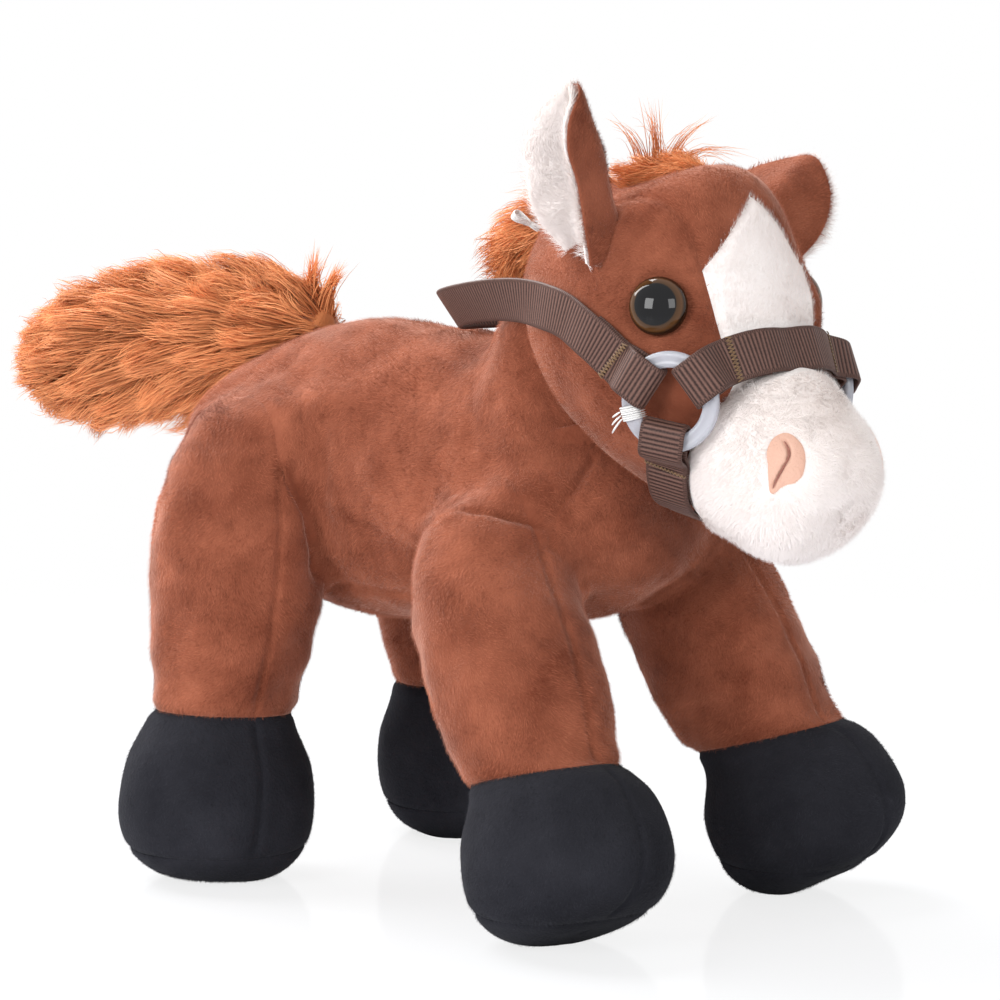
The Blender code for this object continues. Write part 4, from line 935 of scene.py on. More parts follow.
def folded_end(path, way, ring):
    """A strap that passes under the ring's bar, round it, and back over itself."""
    centre, normal, forward, up = ring
    middle, clear = (RING - BAR) / 2, GAP + THICK / 2
    deep, reach = BAR_HIGH / 2 + clear, WIDTH / 2
    inner = math.sqrt((middle - BAR / 2) ** 2 - reach**2) - clear
    across = unit(np.cross(normal, way))
    across = across * (1 if across @ path[0][1] > 0 else -1)
    edge = middle + BAR / 2
    bend = [(edge, -deep), (inner + deep / 2, -deep), (inner, 0), (inner + deep / 2, deep), (middle, deep),
            (edge, deep * 0.85)]
    wrap = [(centre + way * out + normal * high, across) for out, high in bend]
    inside, outside, gone = [], [], 0
    for k, (place, wide, outwards) in enumerate(path):
        gone += np.linalg.norm(place - path[k - 1][0]) if k else 0
        if gone < 0.0100:
            inside.append((place, wide))
        outside.append((place + outwards * (THICK + GAP) * min(1, max(0, 1 - (gone - 0.0100) / 0.0060)), wide))
    return inside[::-1] + wrap + outside


def both_halves(path):
    """A route that ends on the middle plane, joined to its mirror image."""
    return path + [(mirror(place), mirror(wide)) for place, wide in path[-2::-1]]


ring = ring_frame()
ROUTES = {}
for name, low, reach in (("nose_band", 34.0, 0.0042), ("chin_strap", -34.0, 0.0060)):
    route = []
    for angle in np.linspace(math.radians(low), math.copysign(math.pi / 2, low), 9):
        way = HEAD_CREST * math.sin(angle) - SIDE * math.cos(angle)
        route.append(on_surface(on_head(0, RING_ALONG + reach * abs(math.sin(angle)), 0), way))
    path = lifted(route)
    way = path[0][0] - ring[0]
    ROUTES[name] = both_halves(folded_end(path, unit(way - ring[1] * (way @ ring[1])), ring))

crown = ((0.00, 0.135, 0.005), (0.40, 0.020, 0.010), (0.75, -0.100, -0.010), (1.00, -0.190, -0.050))
route = [on_surface(on_head(0, along, rise), -SIDE) for along, rise in table_at(crown, np.linspace(0, 1, 9)) * HEAD_LONG]
path = folded_end(lifted(route), -ring[2], ring)
begin, wide = path[-1]
finish_at, lean, sign = at(0, -0.0150, 0.1256), math.radians(40), -1 if wide[2] < 0 else 1
leaving, arriving = begin + unit(begin - path[-2][0]) * 0.018, finish_at - SIDE * 0.018
for s in np.linspace(0, 1, 10)[1:]:
    place = begin * (1 - s) ** 3 + leaving * 3 * s * (1 - s) ** 2 + arriving * 3 * s**2 * (1 - s) + finish_at * s**3
    upright = toward(0, -math.sin(lean), math.cos(lean)) * sign
    path.append((place, unit(wide * (1 - s) + upright * s + SIDE * sign * -0.45 * math.sin(math.pi * s))))
ROUTES["crown_strap"] = both_halves(path)


# %% [markdown]
# ## Even steps along a route
#
# A strap is drawn from steps of one size, or its ribs would crowd at the bends. The route is
# measured first and then read again at even lengths.

# %% Smooth routes
def smooth_route(route, step):
    """A route's places and width directions at even steps, from a cubic through its points."""
    places = np.array([place for place, wide in route])
    wides = np.array([wide for place, wide in route])
    gone = np.concatenate([[0], np.cumsum(np.linalg.norm(np.diff(places, axis=0), axis=1))])
    marks = np.linspace(0, gone[-1], int(gone[-1] / step) + 1)
    read = table_at(np.column_stack([gone, places, wides]), marks)
    return marks, read[:, :3], read[:, 3:]


middles = np.concatenate([smooth_route(route, 0.0015)[1] for route in ROUTES.values()])
print({name: f"{smooth_route(route, 0.001)[0][-1] * 1000:.0f} mm" for name, route in ROUTES.items()})

# %% [markdown]
# ## Neck and head
#
# The neck is a short sleeve sewn to the torso, and the head turns on it a little. The head is five
# panels: two cheeks, a forehead, a white blaze, and the muzzle in front of a seam. The blaze is
# a kite on the face. It is marked by a number that runs through zero on its outline, so that the
# backing changes colour on a clean line and each kind of pile grows on its own side.

# %% Neck and head cloth
LEAN = math.radians(30)
FACE_OUT = HEAD_CREST * math.cos(LEAN) + HEAD_AXIS * math.sin(LEAN)
FACE_DOWN = HEAD_AXIS * math.cos(LEAN) - HEAD_CREST * math.sin(LEAN)
HEAD_MIDDLE = on_head(0, 0, 0)
EYES = {name: on_surface(on_head(0, 0.0108, 0.0137), SIDE * side) for name, side in (("right", -1), ("left", 1))}


def line_off(x, y, first, second):
    """The distance of (x, y) to the right of a line through two points."""
    way = np.array(second) - np.array(first)
    way = way / np.linalg.norm(way)
    return (x - first[0]) * way[1] - (y - first[1]) * way[0]


def blaze_off(points):
    """The distance outside the blaze: the greatest distance outside any of its edge lines. It has
    no meaning behind the face, so there it is large."""
    out = points - HEAD_MIDDLE
    x, y = abs(out[..., 0]), out @ FACE_DOWN
    upper = line_off(x, y, (0.001, -0.0138), (0.0152, -0.0012))
    lower = line_off(x, y, (0.0152, -0.0012), (0.0110, 0.060))
    return np.where(out @ FACE_OUT > 0, np.maximum(upper, lower), 1.0)


def forehead_off(points):
    """The distance to the seam between forehead and cheek, which runs from the blaze's corner to
    the ear and on to the poll."""
    out = points - HEAD_MIDDLE
    x, y = abs(out[..., 0]), out @ FACE_DOWN
    near = line_off(x, y, (0.0160, -0.021), (0.0152, -0.0012))
    far = line_off(x, y, (0.0120, -0.060), (0.0160, -0.021))
    return np.where((out @ FACE_OUT > 0) & (y < -0.0012), np.where(y > -0.021, near, far), 1.0)


def eye_dent(points):
    """A hollow in the cloth around each eye, a bell curve of the distance past its edge."""
    return sum(groove(np.maximum(np.linalg.norm(points - place, axis=-1) - 0.0050, 0), 0.0012, 0.0022)
               for place, normal in EYES.values())


neck = joined(between(NECK, 110, 150), JOINS[:2] + [(TORSO, "right", JOINS[-1][2])])
flat = neck.reshape(-1, 3)
lift = body_waves(flat) - folded(flat) - groove(np.maximum(off_form(HEAD, flat), 0), 0.0016, 0.0035)
neck = press(neck, lift.reshape(neck.shape[:2]))
muzzle_seam = (on_head(0, 0.0295, 0), HEAD_AXIS)
head = between(HEAD, 190, 220, None, muzzle_seam)
flat = head.reshape(-1, 3)
lift = 0.0005 * slow_waves(flat, 0.024, 42) - groove(blaze_off(flat), 0.0008, 0.0009) - eye_dent(flat)
full = EYES["left"][0] + FORWARD * 0.0085 - SIDE * 0.0035
lift += groove(np.linalg.norm(flat - full, axis=1), 0.0026, 0.0070)
lift -= groove(forehead_off(flat), 0.0007, 0.0008)
lift -= np.where((flat - HEAD_MIDDLE) @ HEAD_CREST < 0, groove(flat[:, 0], 0.0006, 0.0009), 0)
head = press(head, (lift * still_at(flat, muzzle_seam)).reshape(head.shape[:2]))
head = draw_in(head, *muzzle_seam, 0.0015, 0.0016)

# %% [markdown]
# ## The head's two backings, and its pile
#
# The white blaze is sewn into the brown face, so one cloth shows two colours. Two materials on
# separate faces would leave a jagged line. The material reads the blaze's number and changes
# colour where it is zero.

# %% Head cloth and pile
two_plush = BACKING["brown"].copy()
two_plush.name = "face_backing"
nodes, links = two_plush.node_tree.nodes, two_plush.node_tree.links
inside = maths(nodes, links, "LESS_THAN", reading(nodes, "blaze"), 0.0)
shader, group = nodes["Principled BSDF"], next(n for n in nodes if n.type == "GROUP")
links.new(mixed(nodes, links, inside, group.outputs["Color"], PLUSH["white"][1]), shader.inputs["Base Color"])

item = grid_object("neck_cloth", neck, BACKING["brown"])
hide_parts("neck_skin", "neck_filling")
off_torso, off_head = outside((TORSO, "right"), own=NECK), outside((HEAD, "right"))
fur = grow_pile("neck_pile", neck, "brown", BROWN_DENSE * SHARE, BROWN_LONG, toward(0, -0.4, -0.9), 43,
                keep=lambda root, normal: off_torso(root, normal) & off_head(root, normal))
for one in (item, fur):
    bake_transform(one)

item = grid_object("head_cloth", head, two_plush)
paint(item, "blaze", grid_values(blaze_off(head) * 1000))
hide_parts("blaze_panel", "forehead_panel", "cheek_panel_right", "cheek_panel_left", "head_filling")
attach(item, "head")


def under_strap(root):
    """The share of the pile's length left near a strap: an eighth under it, whole beside it."""
    gap = np.full(len(root), 1.0)
    for part in np.array_split(middles, 6):
        gap = np.minimum(gap, np.linalg.norm(root[:, None] - part[None], axis=-1).min(1))
    return 0.12 + 0.88 * np.clip((gap - 0.0052) / 0.0012, 0, 1)


EYE_CLEAR = 0.0061


def off_eyes(root):
    """True where a root is clear of both eyes."""
    return np.all([np.linalg.norm(root - place, axis=1) > EYE_CLEAR for place, normal in EYES.values()], 0)


hidden = outside((NECK, "right"), (MUZZLE, "right"))
BRUSHED = toward(0, -1, 0.1)
fur = grow_pile("head_pile", head, "brown", BROWN_DENSE * SHARE, 0.0013, BRUSHED, 44, trim=under_strap,
                keep=lambda root, normal: hidden(root, normal) & off_eyes(root) & (blaze_off(root) > 0.0001))
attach(fur, "head")
fur = grow_pile("blaze_pile", head, "white", 9 * SHARE, 0.0016, BRUSHED + UP * 0.5, 45, trim=under_strap,
                keep=lambda root, normal: hidden(root, normal) & (blaze_off(root) < 0.0001))
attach(fur, "head")

# %% [markdown]
# ## Muzzle and nostrils
#
# The muzzle is a ball of longer white plush, gathered at a seam behind the nose band. Each nostril
# is a leaf of thin peach plush let into it, with a stitched crease down its middle. The leaf is
# laid on the muzzle by the form's own two angles, so that it follows the curve exactly.

# %% Muzzle, nostrils and their pile
muzzle = between(MUZZLE, 130, 170, (muzzle_seam[0], HEAD_AXIS), None)
flat = muzzle.reshape(-1, 3)
past_seam = (flat - muzzle_seam[0]) @ HEAD_AXIS
lift = (0.0005 * slow_waves(flat, 0.020, 51) + 0.0009 * np.exp(-((past_seam - 0.006) / 0.005) ** 2)) * still_at(
    flat, muzzle_seam)
muzzle = draw_in(press(muzzle, lift.reshape(muzzle.shape[:2])), *muzzle_seam, 0.0008, 0.0012)
low, high = (np.array(corner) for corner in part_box("nostril_patch_right"))
centre = (low + high) / 2


def nearest_angles(form, place):
    """The two angles of a form whose point lies nearest to a place, on a fine grid."""
    a, u = np.meshgrid(np.linspace(0.1, 3.0, 400), np.linspace(0, 2 * math.pi, 600), indexing="ij")
    best = np.linalg.norm(stuffed(form, a, u) - place, axis=-1).argmin()
    return a.flat[best], u.flat[best]


a0, u0 = nearest_angles(MUZZLE, centre)
here = stuffed(MUZZLE, np.array([a0]), np.array([u0]))[0]
by_a = (stuffed(MUZZLE, np.array([a0 + 0.01]), np.array([u0]))[0] - here) / 0.01
by_u = (stuffed(MUZZLE, np.array([a0]), np.array([u0 + 0.01]))[0] - here) / 0.01
out = unit(np.cross(by_a, by_u))
out = out * (1 if out @ (here - MUZZLE[0]) > 0 else -1)
leaf_up = unit(UP - out * (out @ UP))
leaf_side = np.cross(leaf_up, out)


def leaf_point(x, y):
    """The muzzle's point at a distance x across and y up from the leaf's middle."""
    way = leaf_side * x[..., None] + leaf_up * y[..., None]
    frame_of = np.stack([by_a, by_u], -1)
    shift = way @ np.linalg.pinv(frame_of).T
    return stuffed(MUZZLE, a0 + shift[..., 0], u0 + shift[..., 1])


OUTLINE = ((0, 3.7), (21, 3.9), (67, 5.1), (96, 6.0), (116, 5.6), (137, 4.8), (192, 3.7), (224, 5.2), (238, 6.8),
           (254, 5.0), (295, 4.2), (323, 4.0), (345, 3.7), (360, 3.7))
CREASE = ((-5.0, -3.2), (-4.2, -2.8), (-1.0, -0.8), (2.0, 0.4), (4.2, -0.6), (5.0, -1.2))


def leaf_grid():
    """A domed leaf: rings from its back's middle round its rim to its front's middle, each the
    outline's radius at a turn times the sine of the ring's angle, raised by 0.8 mm less a crease."""
    ring, turn = np.meshgrid(np.linspace(0, math.pi, 41), np.linspace(0, 2 * math.pi, 97)[:-1], indexing="ij")
    reach = np.sin(ring) ** 0.8 * table_at(OUTLINE, np.degrees(turn))[..., 0] / 1000
    x, y = np.cos(turn) * reach, np.sin(turn) * reach
    beside = x - table_at(CREASE, y * 1000)[..., 0] / 1000
    high = 0.0003 - 0.0005 * np.cos(ring) - groove(beside, 0.0006, 0.0005) * (
        (ring > math.pi / 2) * np.clip((0.0052 - abs(y)) / 0.001, 0, 1))
    base = leaf_point(x, y)
    return base + unit(base - (MUZZLE[0] + MUZZLE[1]) / 2) * high[..., None]


leaf = leaf_grid()
item = grid_object("muzzle_cloth", muzzle, BACKING["white"])
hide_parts("muzzle_skin", "muzzle_filling")
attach(item, "head")


def leaf_reach(root):
    """How many leaf sizes a root on either side is from the nearer leaf's middle."""
    away = np.where(root[:, :1] < 0, root, mirror(root)) - here
    x, y = away @ leaf_side, away @ leaf_up
    return np.hypot(x, y) * 1000 / table_at(OUTLINE, np.degrees(np.arctan2(y, x)) % 360)[..., 0]


fur = grow_pile("muzzle_pile", muzzle, "white", 14 * SHARE, 0.0017, toward(0, -0.2, -0.5), 52, lift=0.9,
                keep=lambda root, normal: leaf_reach(root) > 0.95,
                trim=lambda root: under_strap(root) * np.clip(leaf_reach(root) - 0.55, 0.3, 1))
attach(fur, "head")
for name in ("right", "left"):
    grid = leaf if name == "right" else mirror(leaf)
    item = grid_object("nostril_" + name, grid, BACKING["peach"])
    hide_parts("nostril_patch_" + name)
    fur = grow_pile("nostril_pile_" + name, grid, "peach", 16, 0.0006, toward(0, 0.2, -1), 53, width=0.0001)
    for one in (item, fur):
        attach(one, "head")

# %% [markdown]
# ## Eyes
#
# A safety eye is a dome of clear plastic over a painted back: a black pupil in an amber ring, with
# a shank through the cloth. A glass dome over a disc would be truer, but costs a lot to light. The
# clear coat on one smooth dome gives the same sharp reflections, and a number that grows from the
# axis outwards places the ring.

# %% Eye domes
EYE = 0.006
look, nodes, links, shader = new_finish("glossy_eye", {
    "Roughness": 0.5, "Coat Weight": 1.0, "Coat Roughness": 0.02, "Coat IOR": 1.37, "Specular IOR Level": 0.0})
ramp = nodes.new("ShaderNodeValToRGB")
ramp.color_ramp.elements[0].position, ramp.color_ramp.elements[0].color = 0.0, (0.004, 0.004, 0.005, 1)
ramp.color_ramp.elements[1].position, ramp.color_ramp.elements[1].color = 1.0, (0.020, 0.008, 0.003, 1)
for place, colour in ((0.70, (0.004, 0.004, 0.005, 1)), (0.74, (0.060, 0.028, 0.010, 1)),
                      (0.88, (0.105, 0.045, 0.016, 1)), (0.945, (0.016, 0.008, 0.004, 1))):
    stop = ramp.color_ramp.elements.new(place)
    stop.color = colour
links.new(reading(nodes, "reach"), ramp.inputs["Fac"])
links.new(ramp.outputs["Color"], shader.inputs["Base Color"])


def turned_grid(place, normal, radius, height, sides):
    """Rings about a normal: each point is the place plus the normal times a height, plus a radius
    times a turning direction. The first and last radius are zero."""
    right = unit(np.array(Vector(normal).orthogonal()))
    up = np.cross(normal, right)
    turn = np.linspace(0, 2 * math.pi, sides + 1)[:-1]
    way = right * np.cos(turn)[:, None] + up * np.sin(turn)[:, None]
    return place + normal * height[:, None, None] + way[None] * radius[:, None, None]


swing = np.linspace(0, math.pi / 2, 26)
radius = np.concatenate([EYE * np.sin(swing), [EYE, EYE * 0.97, 0.0015, 0.0015, 0.0014, 0]])
height = np.concatenate([0.004 * np.cos(swing) - 0.0003, [-0.0006, -0.0009, -0.0009, -0.0097, -0.0099, -0.0099]])
for name, (place, normal) in EYES.items():
    item = grid_object("eye_dome_" + name, turned_grid(place, normal, radius, height, 64), look)
    reach = np.clip(radius / EYE, 0, 1)[:, None] * np.ones(64)
    paint(item, "reach", grid_values(reach))
    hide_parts("eye_" + name)
    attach(item, "head")
print("eyes stand at", {name: place.round(4) for name, (place, normal) in EYES.items()})

# %% [markdown]
# ## Ears
#
# Each ear is a brown leaf and a white leaf sewn together and folded lengthwise. A flat leaf given
# a thickness would have a hard edge, so each leaf is a thin closed pillow: its section is an oval
# bent round the fold, and its width follows the ear's outline. The left ear has dropped outwards.

# %% Ear leaves
EAR_LONG, EAR_FRONT, EAR_BACK, FOLD, CLOTH = 0.036, 0.015, 0.0175, 0.005, 0.0016
EAR_SHARES = ((0.00, 0.98, 0.74), (0.25, 0.84, 0.97), (0.50, 0.78, 1.00), (0.75, 0.74, 1.00),
              (0.90, 0.56, 0.98), (1.00, 0.26, 0.90))
lean, turn = math.radians(22), math.radians(28)
ear_long = np.array([-math.sin(lean), 0, math.cos(lean)])
ear_face = toward(-math.cos(turn), -math.sin(turn), 0)
ear_face = unit(ear_face - ear_long * (ear_face @ ear_long))
ear_side = np.cross(ear_long, ear_face)
EAR_BASE = at(-0.015, 0.045, 0.141)


def ear_leaf(limit, front_end, inner, outer, rim):
    """A pillow between two offsets from the ear's outer face. Its back edge rounds off over the
    upper half and its front edge from a given share of the length; on an ear that is folded less
    than 45 degrees the front is nearly as full as the back. Across it, a width is wound on an arc
    of the fold's radius up to a limit in degrees and runs straight on from there."""
    v, turn = np.meshgrid(np.linspace(0, math.pi, 90), np.linspace(0, 2 * math.pi, 121)[:-1], indexing="ij")
    place = (1 - np.cos(v)) / 2
    base = np.sqrt(np.clip(place / 0.04, 0, 1))
    closing, rounded = (base * np.sqrt(np.clip(1 - ((place - first) / (1 - first)).clip(0, 1) ** 2, 0, 1))
                        for first in (front_end, 0.50))
    front, back = np.moveaxis(table_at(EAR_SHARES, place), -1, 0)
    if limit < 45:
        front = np.maximum(front, back * 0.92)
    low, high = -EAR_BACK * back * rounded + rim[0] * closing, (EAR_FRONT * front - rim[1]) * closing
    width = (low + high) / 2 + (high - low) / 2 * np.sign(np.cos(turn)) * np.abs(np.cos(turn)) ** 0.8
    offset = (inner + outer) / 2 + (outer - inner) / 2 * np.sign(np.sin(turn)) * np.abs(np.sin(turn)) ** 0.6 * closing
    angle = np.clip(width / FOLD, -math.radians(limit), math.radians(limit))
    rest = width - angle * FOLD
    across = FOLD * np.sin(angle) + rest * np.cos(angle)
    deep = FOLD * (1 - np.cos(angle)) + rest * np.sin(angle)
    inwards = ear_face * np.cos(angle)[..., None] - ear_side * np.sin(angle)[..., None]
    return (EAR_BASE + ear_long * ((EAR_LONG - rim[0]) * place)[..., None] + ear_side * across[..., None]
            + ear_face * deep[..., None] + inwards * offset[..., None])


def dropped(points):
    """The right ear's points on the left, turned outwards by 36 degrees about the ear's base."""
    pivot, angle = mirror(EAR_BASE), math.radians(36)
    x, y, z = np.moveaxis(mirror(points) - pivot, -1, 0)
    return pivot + np.stack([x * math.cos(angle) + z * math.sin(angle), y,
                             z * math.cos(angle) - x * math.sin(angle)], -1)


RIMS = {("ear_outer", "right"): (0, 0), ("ear_outer", "left"): (0, 0),
        ("ear_lining", "right"): (0, 0.0011), ("ear_lining", "left"): (-0.0010, -0.0010)}
LAYERS = (("ear_outer", "brown", (CLOTH, 0)),
          ("ear_lining", "white", (2 * CLOTH + GAP, CLOTH + GAP)))
for part, colour, layer in LAYERS:
    for name, limit, front_end in (("right", 60, 0.82), ("left", 30, 0.45)):
        leaf = ear_leaf(limit, front_end, *layer, RIMS[part, name])
        ripple = 0.0004 * slow_waves(leaf.reshape(-1, 3), 0.012, 61)
        leaf = leaf + ear_face * ripple.reshape(leaf.shape[:2])[..., None]
        grid = leaf if name == "right" else dropped(leaf)
        long = ear_long if name == "right" else unit(dropped(EAR_BASE + ear_long) - mirror(EAR_BASE))
        item = grid_object(f"{part}_cloth_{name}", grid, BACKING[colour])
        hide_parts(f"{part}_{name}")
        length, dense = (0.0013, BROWN_DENSE) if colour == "brown" else (0.0027, 13)
        clear = outside((HEAD, "right"))
        fur = grow_pile(f"{part}_pile_{name}", grid, colour, dense * SHARE, length, long * 0.9, 62 + len(name),
                        keep=clear)
        for one in (item, fur):
            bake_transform(one)

# %% [markdown]
# ## Halter straps
#
# The straps are grosgrain: a ribbon with a fine rib straight across it and a flat woven edge. A
# bump map could draw the ribs, but the strap is the sharpest thing on the toy, so they are real:
# the section is carried along the smoothed route, and its faces rise and fall with the length.

# %% Ribbon, stitches and their finishes
RIB = 0.00092
THREAD_SIDES = 8
ribbon_look, nodes, links, shader = new_finish("grosgrain", {
    "Roughness": 0.50, "Specular IOR Level": 0.20, "Sheen Weight": 0.08, "Sheen Roughness": 0.3})
# The rib paints the colour: painted shade in the grooves and painted light on the crests, with a fine thread grain as
# well.
thread_noise = noise_at(nodes, links, 2600.0)
rib_shade_and_grain = maths(nodes, links, "ADD", reading(nodes, "rib"),
                   maths(nodes, links, "MULTIPLY", maths(nodes, links, "SUBTRACT", thread_noise, 0.5), 0.7))
links.new(mixed(nodes, links, rib_shade_and_grain, (0.026, 0.011, 0.009), (0.170, 0.090, 0.071)), shader.inputs["Base Color"])


def thread_finish(name, deep, light, roughness):
    """A twisted thread: noise stretched by fine detail between two tones."""
    made, nodes, links, shader = new_finish(name, {"Roughness": roughness, "Sheen Weight": 0.2})
    links.new(mixed(nodes, links, noise_at(nodes, links, 1800.0, 3.0), deep, light), shader.inputs["Base Color"])
    bump = nodes.new("ShaderNodeBump")
    bump.inputs["Distance"].default_value = 0.0002
    links.new(noise_at(nodes, links, 3200.0), bump.inputs["Height"])
    links.new(bump.outputs["Normal"], shader.inputs["Normal"])
    return made


stitch_look = thread_finish("stitch_thread", (0.075, 0.034, 0.012), (0.290, 0.165, 0.070), 0.6)
white_thread = thread_finish("white_thread", (0.620, 0.610, 0.600), (0.930, 0.920, 0.900), 0.6)


def ribbon_object(name, route):
    """A strap: an oblong with rounded edges at every step of a route. Its two faces rise by a
    tenth of a millimetre on each rib, which is a raised cosine of the length, and stay flat in the
    woven edge."""
    marks, places, wides = smooth_route(route, 0.00013)
    share = np.linalg.norm(wides, axis=1, keepdims=True)
    ahead = unit(np.gradient(places, axis=0))
    across = unit(wides - ahead * dot(wides, ahead))
    out = np.cross(ahead, across)
    x = np.array([1, .97, .92, .86, .80, .4, 0, -.4, -.80, -.86, -.92, -.97])
    x = np.concatenate([x, [-1], -x[1:]])
    side = np.where(np.arange(24) < 12, 1.0, -1.0)
    side[0] = side[12] = 0
    rounding = np.sqrt(np.clip(1 - ((abs(x) - 0.90) / 0.10).clip(0, 1) ** 2, 0, 1))
    rib = 0.5 + 0.5 * np.cos(2 * math.pi * marks / RIB)
    edge = 0.5 + 0.5 * np.cos(2 * math.pi * marks / RIB * 2 + 1.5)
    inner = (abs(x) < 0.84).astype(float)
    height = rib[:, None] * inner + edge[:, None] * (1 - inner) * 0.8
    high = side * rounding * (THICK / 2 + (height - 0.6) * 0.00011)
    grid = (places[:, None] + across[:, None] * (x * share * WIDTH / 2)[..., None] + out[:, None] * high[..., None])
    ends = [np.broadcast_to(place, grid[:1].shape) for place in places[[0, -1]]]
    grid = np.concatenate([ends[0], grid, ends[1]])
    height = np.concatenate([height[:1], height, height[-1:]])
    item = grid_object(name + "_ribbon", grid, ribbon_look)
    # The rib's height also paints the colour, dark in the grooves and light on the crests: painted shade and painted
    # light.
    paint(item, "rib", grid_values(height))
    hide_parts(name)
    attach(item, "head")
    return marks, places, across, out


# %% [markdown]
# ## Threads
#
# Stitches, ties and the nostril's crease are thread. Each is a thin round tube along a curve, and
# many are joined into one piece, as a seam is one piece on the real toy.

# %% Threads and stitches
def tube_grid(path, radius, sides):
    """A round thread along each path of a stack: a circle square to the path at every point."""
    ahead = unit(np.gradient(path, axis=-2))
    aside = unit(np.cross(ahead, np.array([0.31, 0.52, 0.79])))
    third = np.cross(ahead, aside)
    turn = np.linspace(0, 2 * math.pi, sides + 1)[:-1]
    way = aside[..., None, :] * np.cos(turn)[:, None] + third[..., None, :] * np.sin(turn)[:, None]
    return path[..., None, :] + way * np.broadcast_to(radius, path.shape[:-1])[..., None, None]


def threads_object(name, paths, radius, finish):
    """Several threads as one mesh, each closed at both ends."""
    taper = np.sqrt(np.clip(np.sin(np.linspace(0, math.pi, paths.shape[1])), 0, 1)) ** 0.5
    parts = [grid_object(name + "_part", g, finish) for g in tube_grid(paths, radius * taper, THREAD_SIDES)]
    with bpy.context.temp_override(active_object=parts[0], selected_editable_objects=parts):
        bpy.ops.object.join()
    item = parts[0]
    item.name = item.data.name = name
    flat = item.data.uv_layers["OFBake"].data
    uv = np.zeros(len(flat) * 2, np.float32)
    flat.foreach_get("uv", uv)
    each = len(flat) // len(paths)
    column = np.repeat(np.arange(len(paths)), each)[: len(flat)]
    uv = uv.reshape(-1, 2)
    uv[:, 0] = (uv[:, 0] * 0.9 + 0.05 + column) / len(paths)
    flat.foreach_set("uv", uv.ravel())
    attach(item, "head")
    return item


strap_frames = {name: ribbon_object(name, route) for name, route in ROUTES.items()}
crease_look = thread_finish("crease_thread", (0.200, 0.060, 0.045), (0.420, 0.170, 0.120), 0.7)
y = np.linspace(-0.0048, 0.0044, 30)
seam_line = leaf_point(table_at(CREASE, y * 1000)[..., 0] / 1000, y)
seam_line = seam_line + unit(seam_line - (MUZZLE[0] + MUZZLE[1]) / 2) * 0.00055
for name in ("right", "left"):
    line = seam_line if name == "right" else mirror(seam_line)
    threads_object("nostril_crease_" + name, line[None], 0.00022, crease_look)


def tack_paths(frames, length_at, wide):
    """A dense row of 24 stitches across a strap, each an arch a fifth of a millimetre high over
    the row's width, slanted one way and then the other."""
    marks, places, across, out = frames
    k = np.searchsorted(marks, length_at)
    ahead = unit(places[k + 1] - places[k - 1])
    row = np.linspace(-0.47, 0.47, 24)[:, None, None] * WIDTH
    s = np.linspace(-1, 1, 10)[None, :, None]
    zig = np.where(np.arange(24) % 2 == 0, 1.0, -1.0)[:, None, None]
    lift = THICK / 2 + 0.00006 + 0.00016 * (1 - s**2)
    sway = across[k] * (row + s * 0.00026 * zig) + ahead * (s * wide + 0.12 * row)
    return places[k] + sway + out[k] * lift


for name, (marks, places, across, out) in strap_frames.items():
    outwards = dot(out, places - HEAD_MIDDLE)
    facing = (marks, places, across, out * np.where(outwards > 0, 1.0, -1.0))
    paths = []
    for centre in (ring[0], mirror(ring[0])):
        away = np.linalg.norm(places - centre, axis=1)
        upper = np.minimum(marks, marks[-1] - marks) > 0.018
        at_length = marks[np.argmin(np.where(upper, abs(away - 0.0152), 1.0) + 10 * ((marks > marks[-1] / 2) != (centre[0] > 0)))]
        paths.append(tack_paths(facing, at_length, 0.0004 if name == "chin_strap" else 0.0008))
    item = threads_object(name + "_stitches", np.concatenate(paths), 0.00015, stitch_look)
print("straps and stitches:", len(strap_frames))

# %% [markdown]
# ## Rings, ties and hang loop
#
# Each ring is moulded in milky plastic, flat in section with rounded edges. White thread ties it to
# the cheek, wound a few times and left with loose ends, and a loop of narrow white tape, by which
# such a toy is hung, is sewn in at the right ear.

# %% Rings, ties and loop
ring_look, nodes, links, shader = new_finish("milky_plastic", {
    "Roughness": 0.25, "Transmission Weight": 0.45, "IOR": 1.45, "Specular IOR Level": 0.5})
links.new(mixed(nodes, links, noise_at(nodes, links, 90.0), (0.580, 0.590, 0.660), (0.760, 0.770, 0.830)),
          shader.inputs["Base Color"])


def ring_grid():
    """A flat ring: a turn of the ring's middle radius carries a rounded oblong section, whose
    sides are the cosine and sine of the section's angle to the power 0.7, with a shallow groove
    round the middle of each face."""
    turn, angle = np.meshgrid(np.linspace(0, 2 * math.pi, 145)[:-1], np.linspace(0, 2 * math.pi, 33)[:-1], indexing="ij")
    centre, normal, forward, up = ring
    wide = np.sign(np.cos(angle)) * np.abs(np.cos(angle)) ** 0.7 * BAR / 2
    high = np.sign(np.sin(angle)) * (np.abs(np.sin(angle)) ** 0.7 * BAR_HIGH / 2 - groove(wide, 0.0003, 0.0006))
    way = forward * np.cos(turn)[..., None] + up * np.sin(turn)[..., None]
    return centre + way * ((RING - BAR) / 2 + wide)[..., None] + normal * high[..., None]


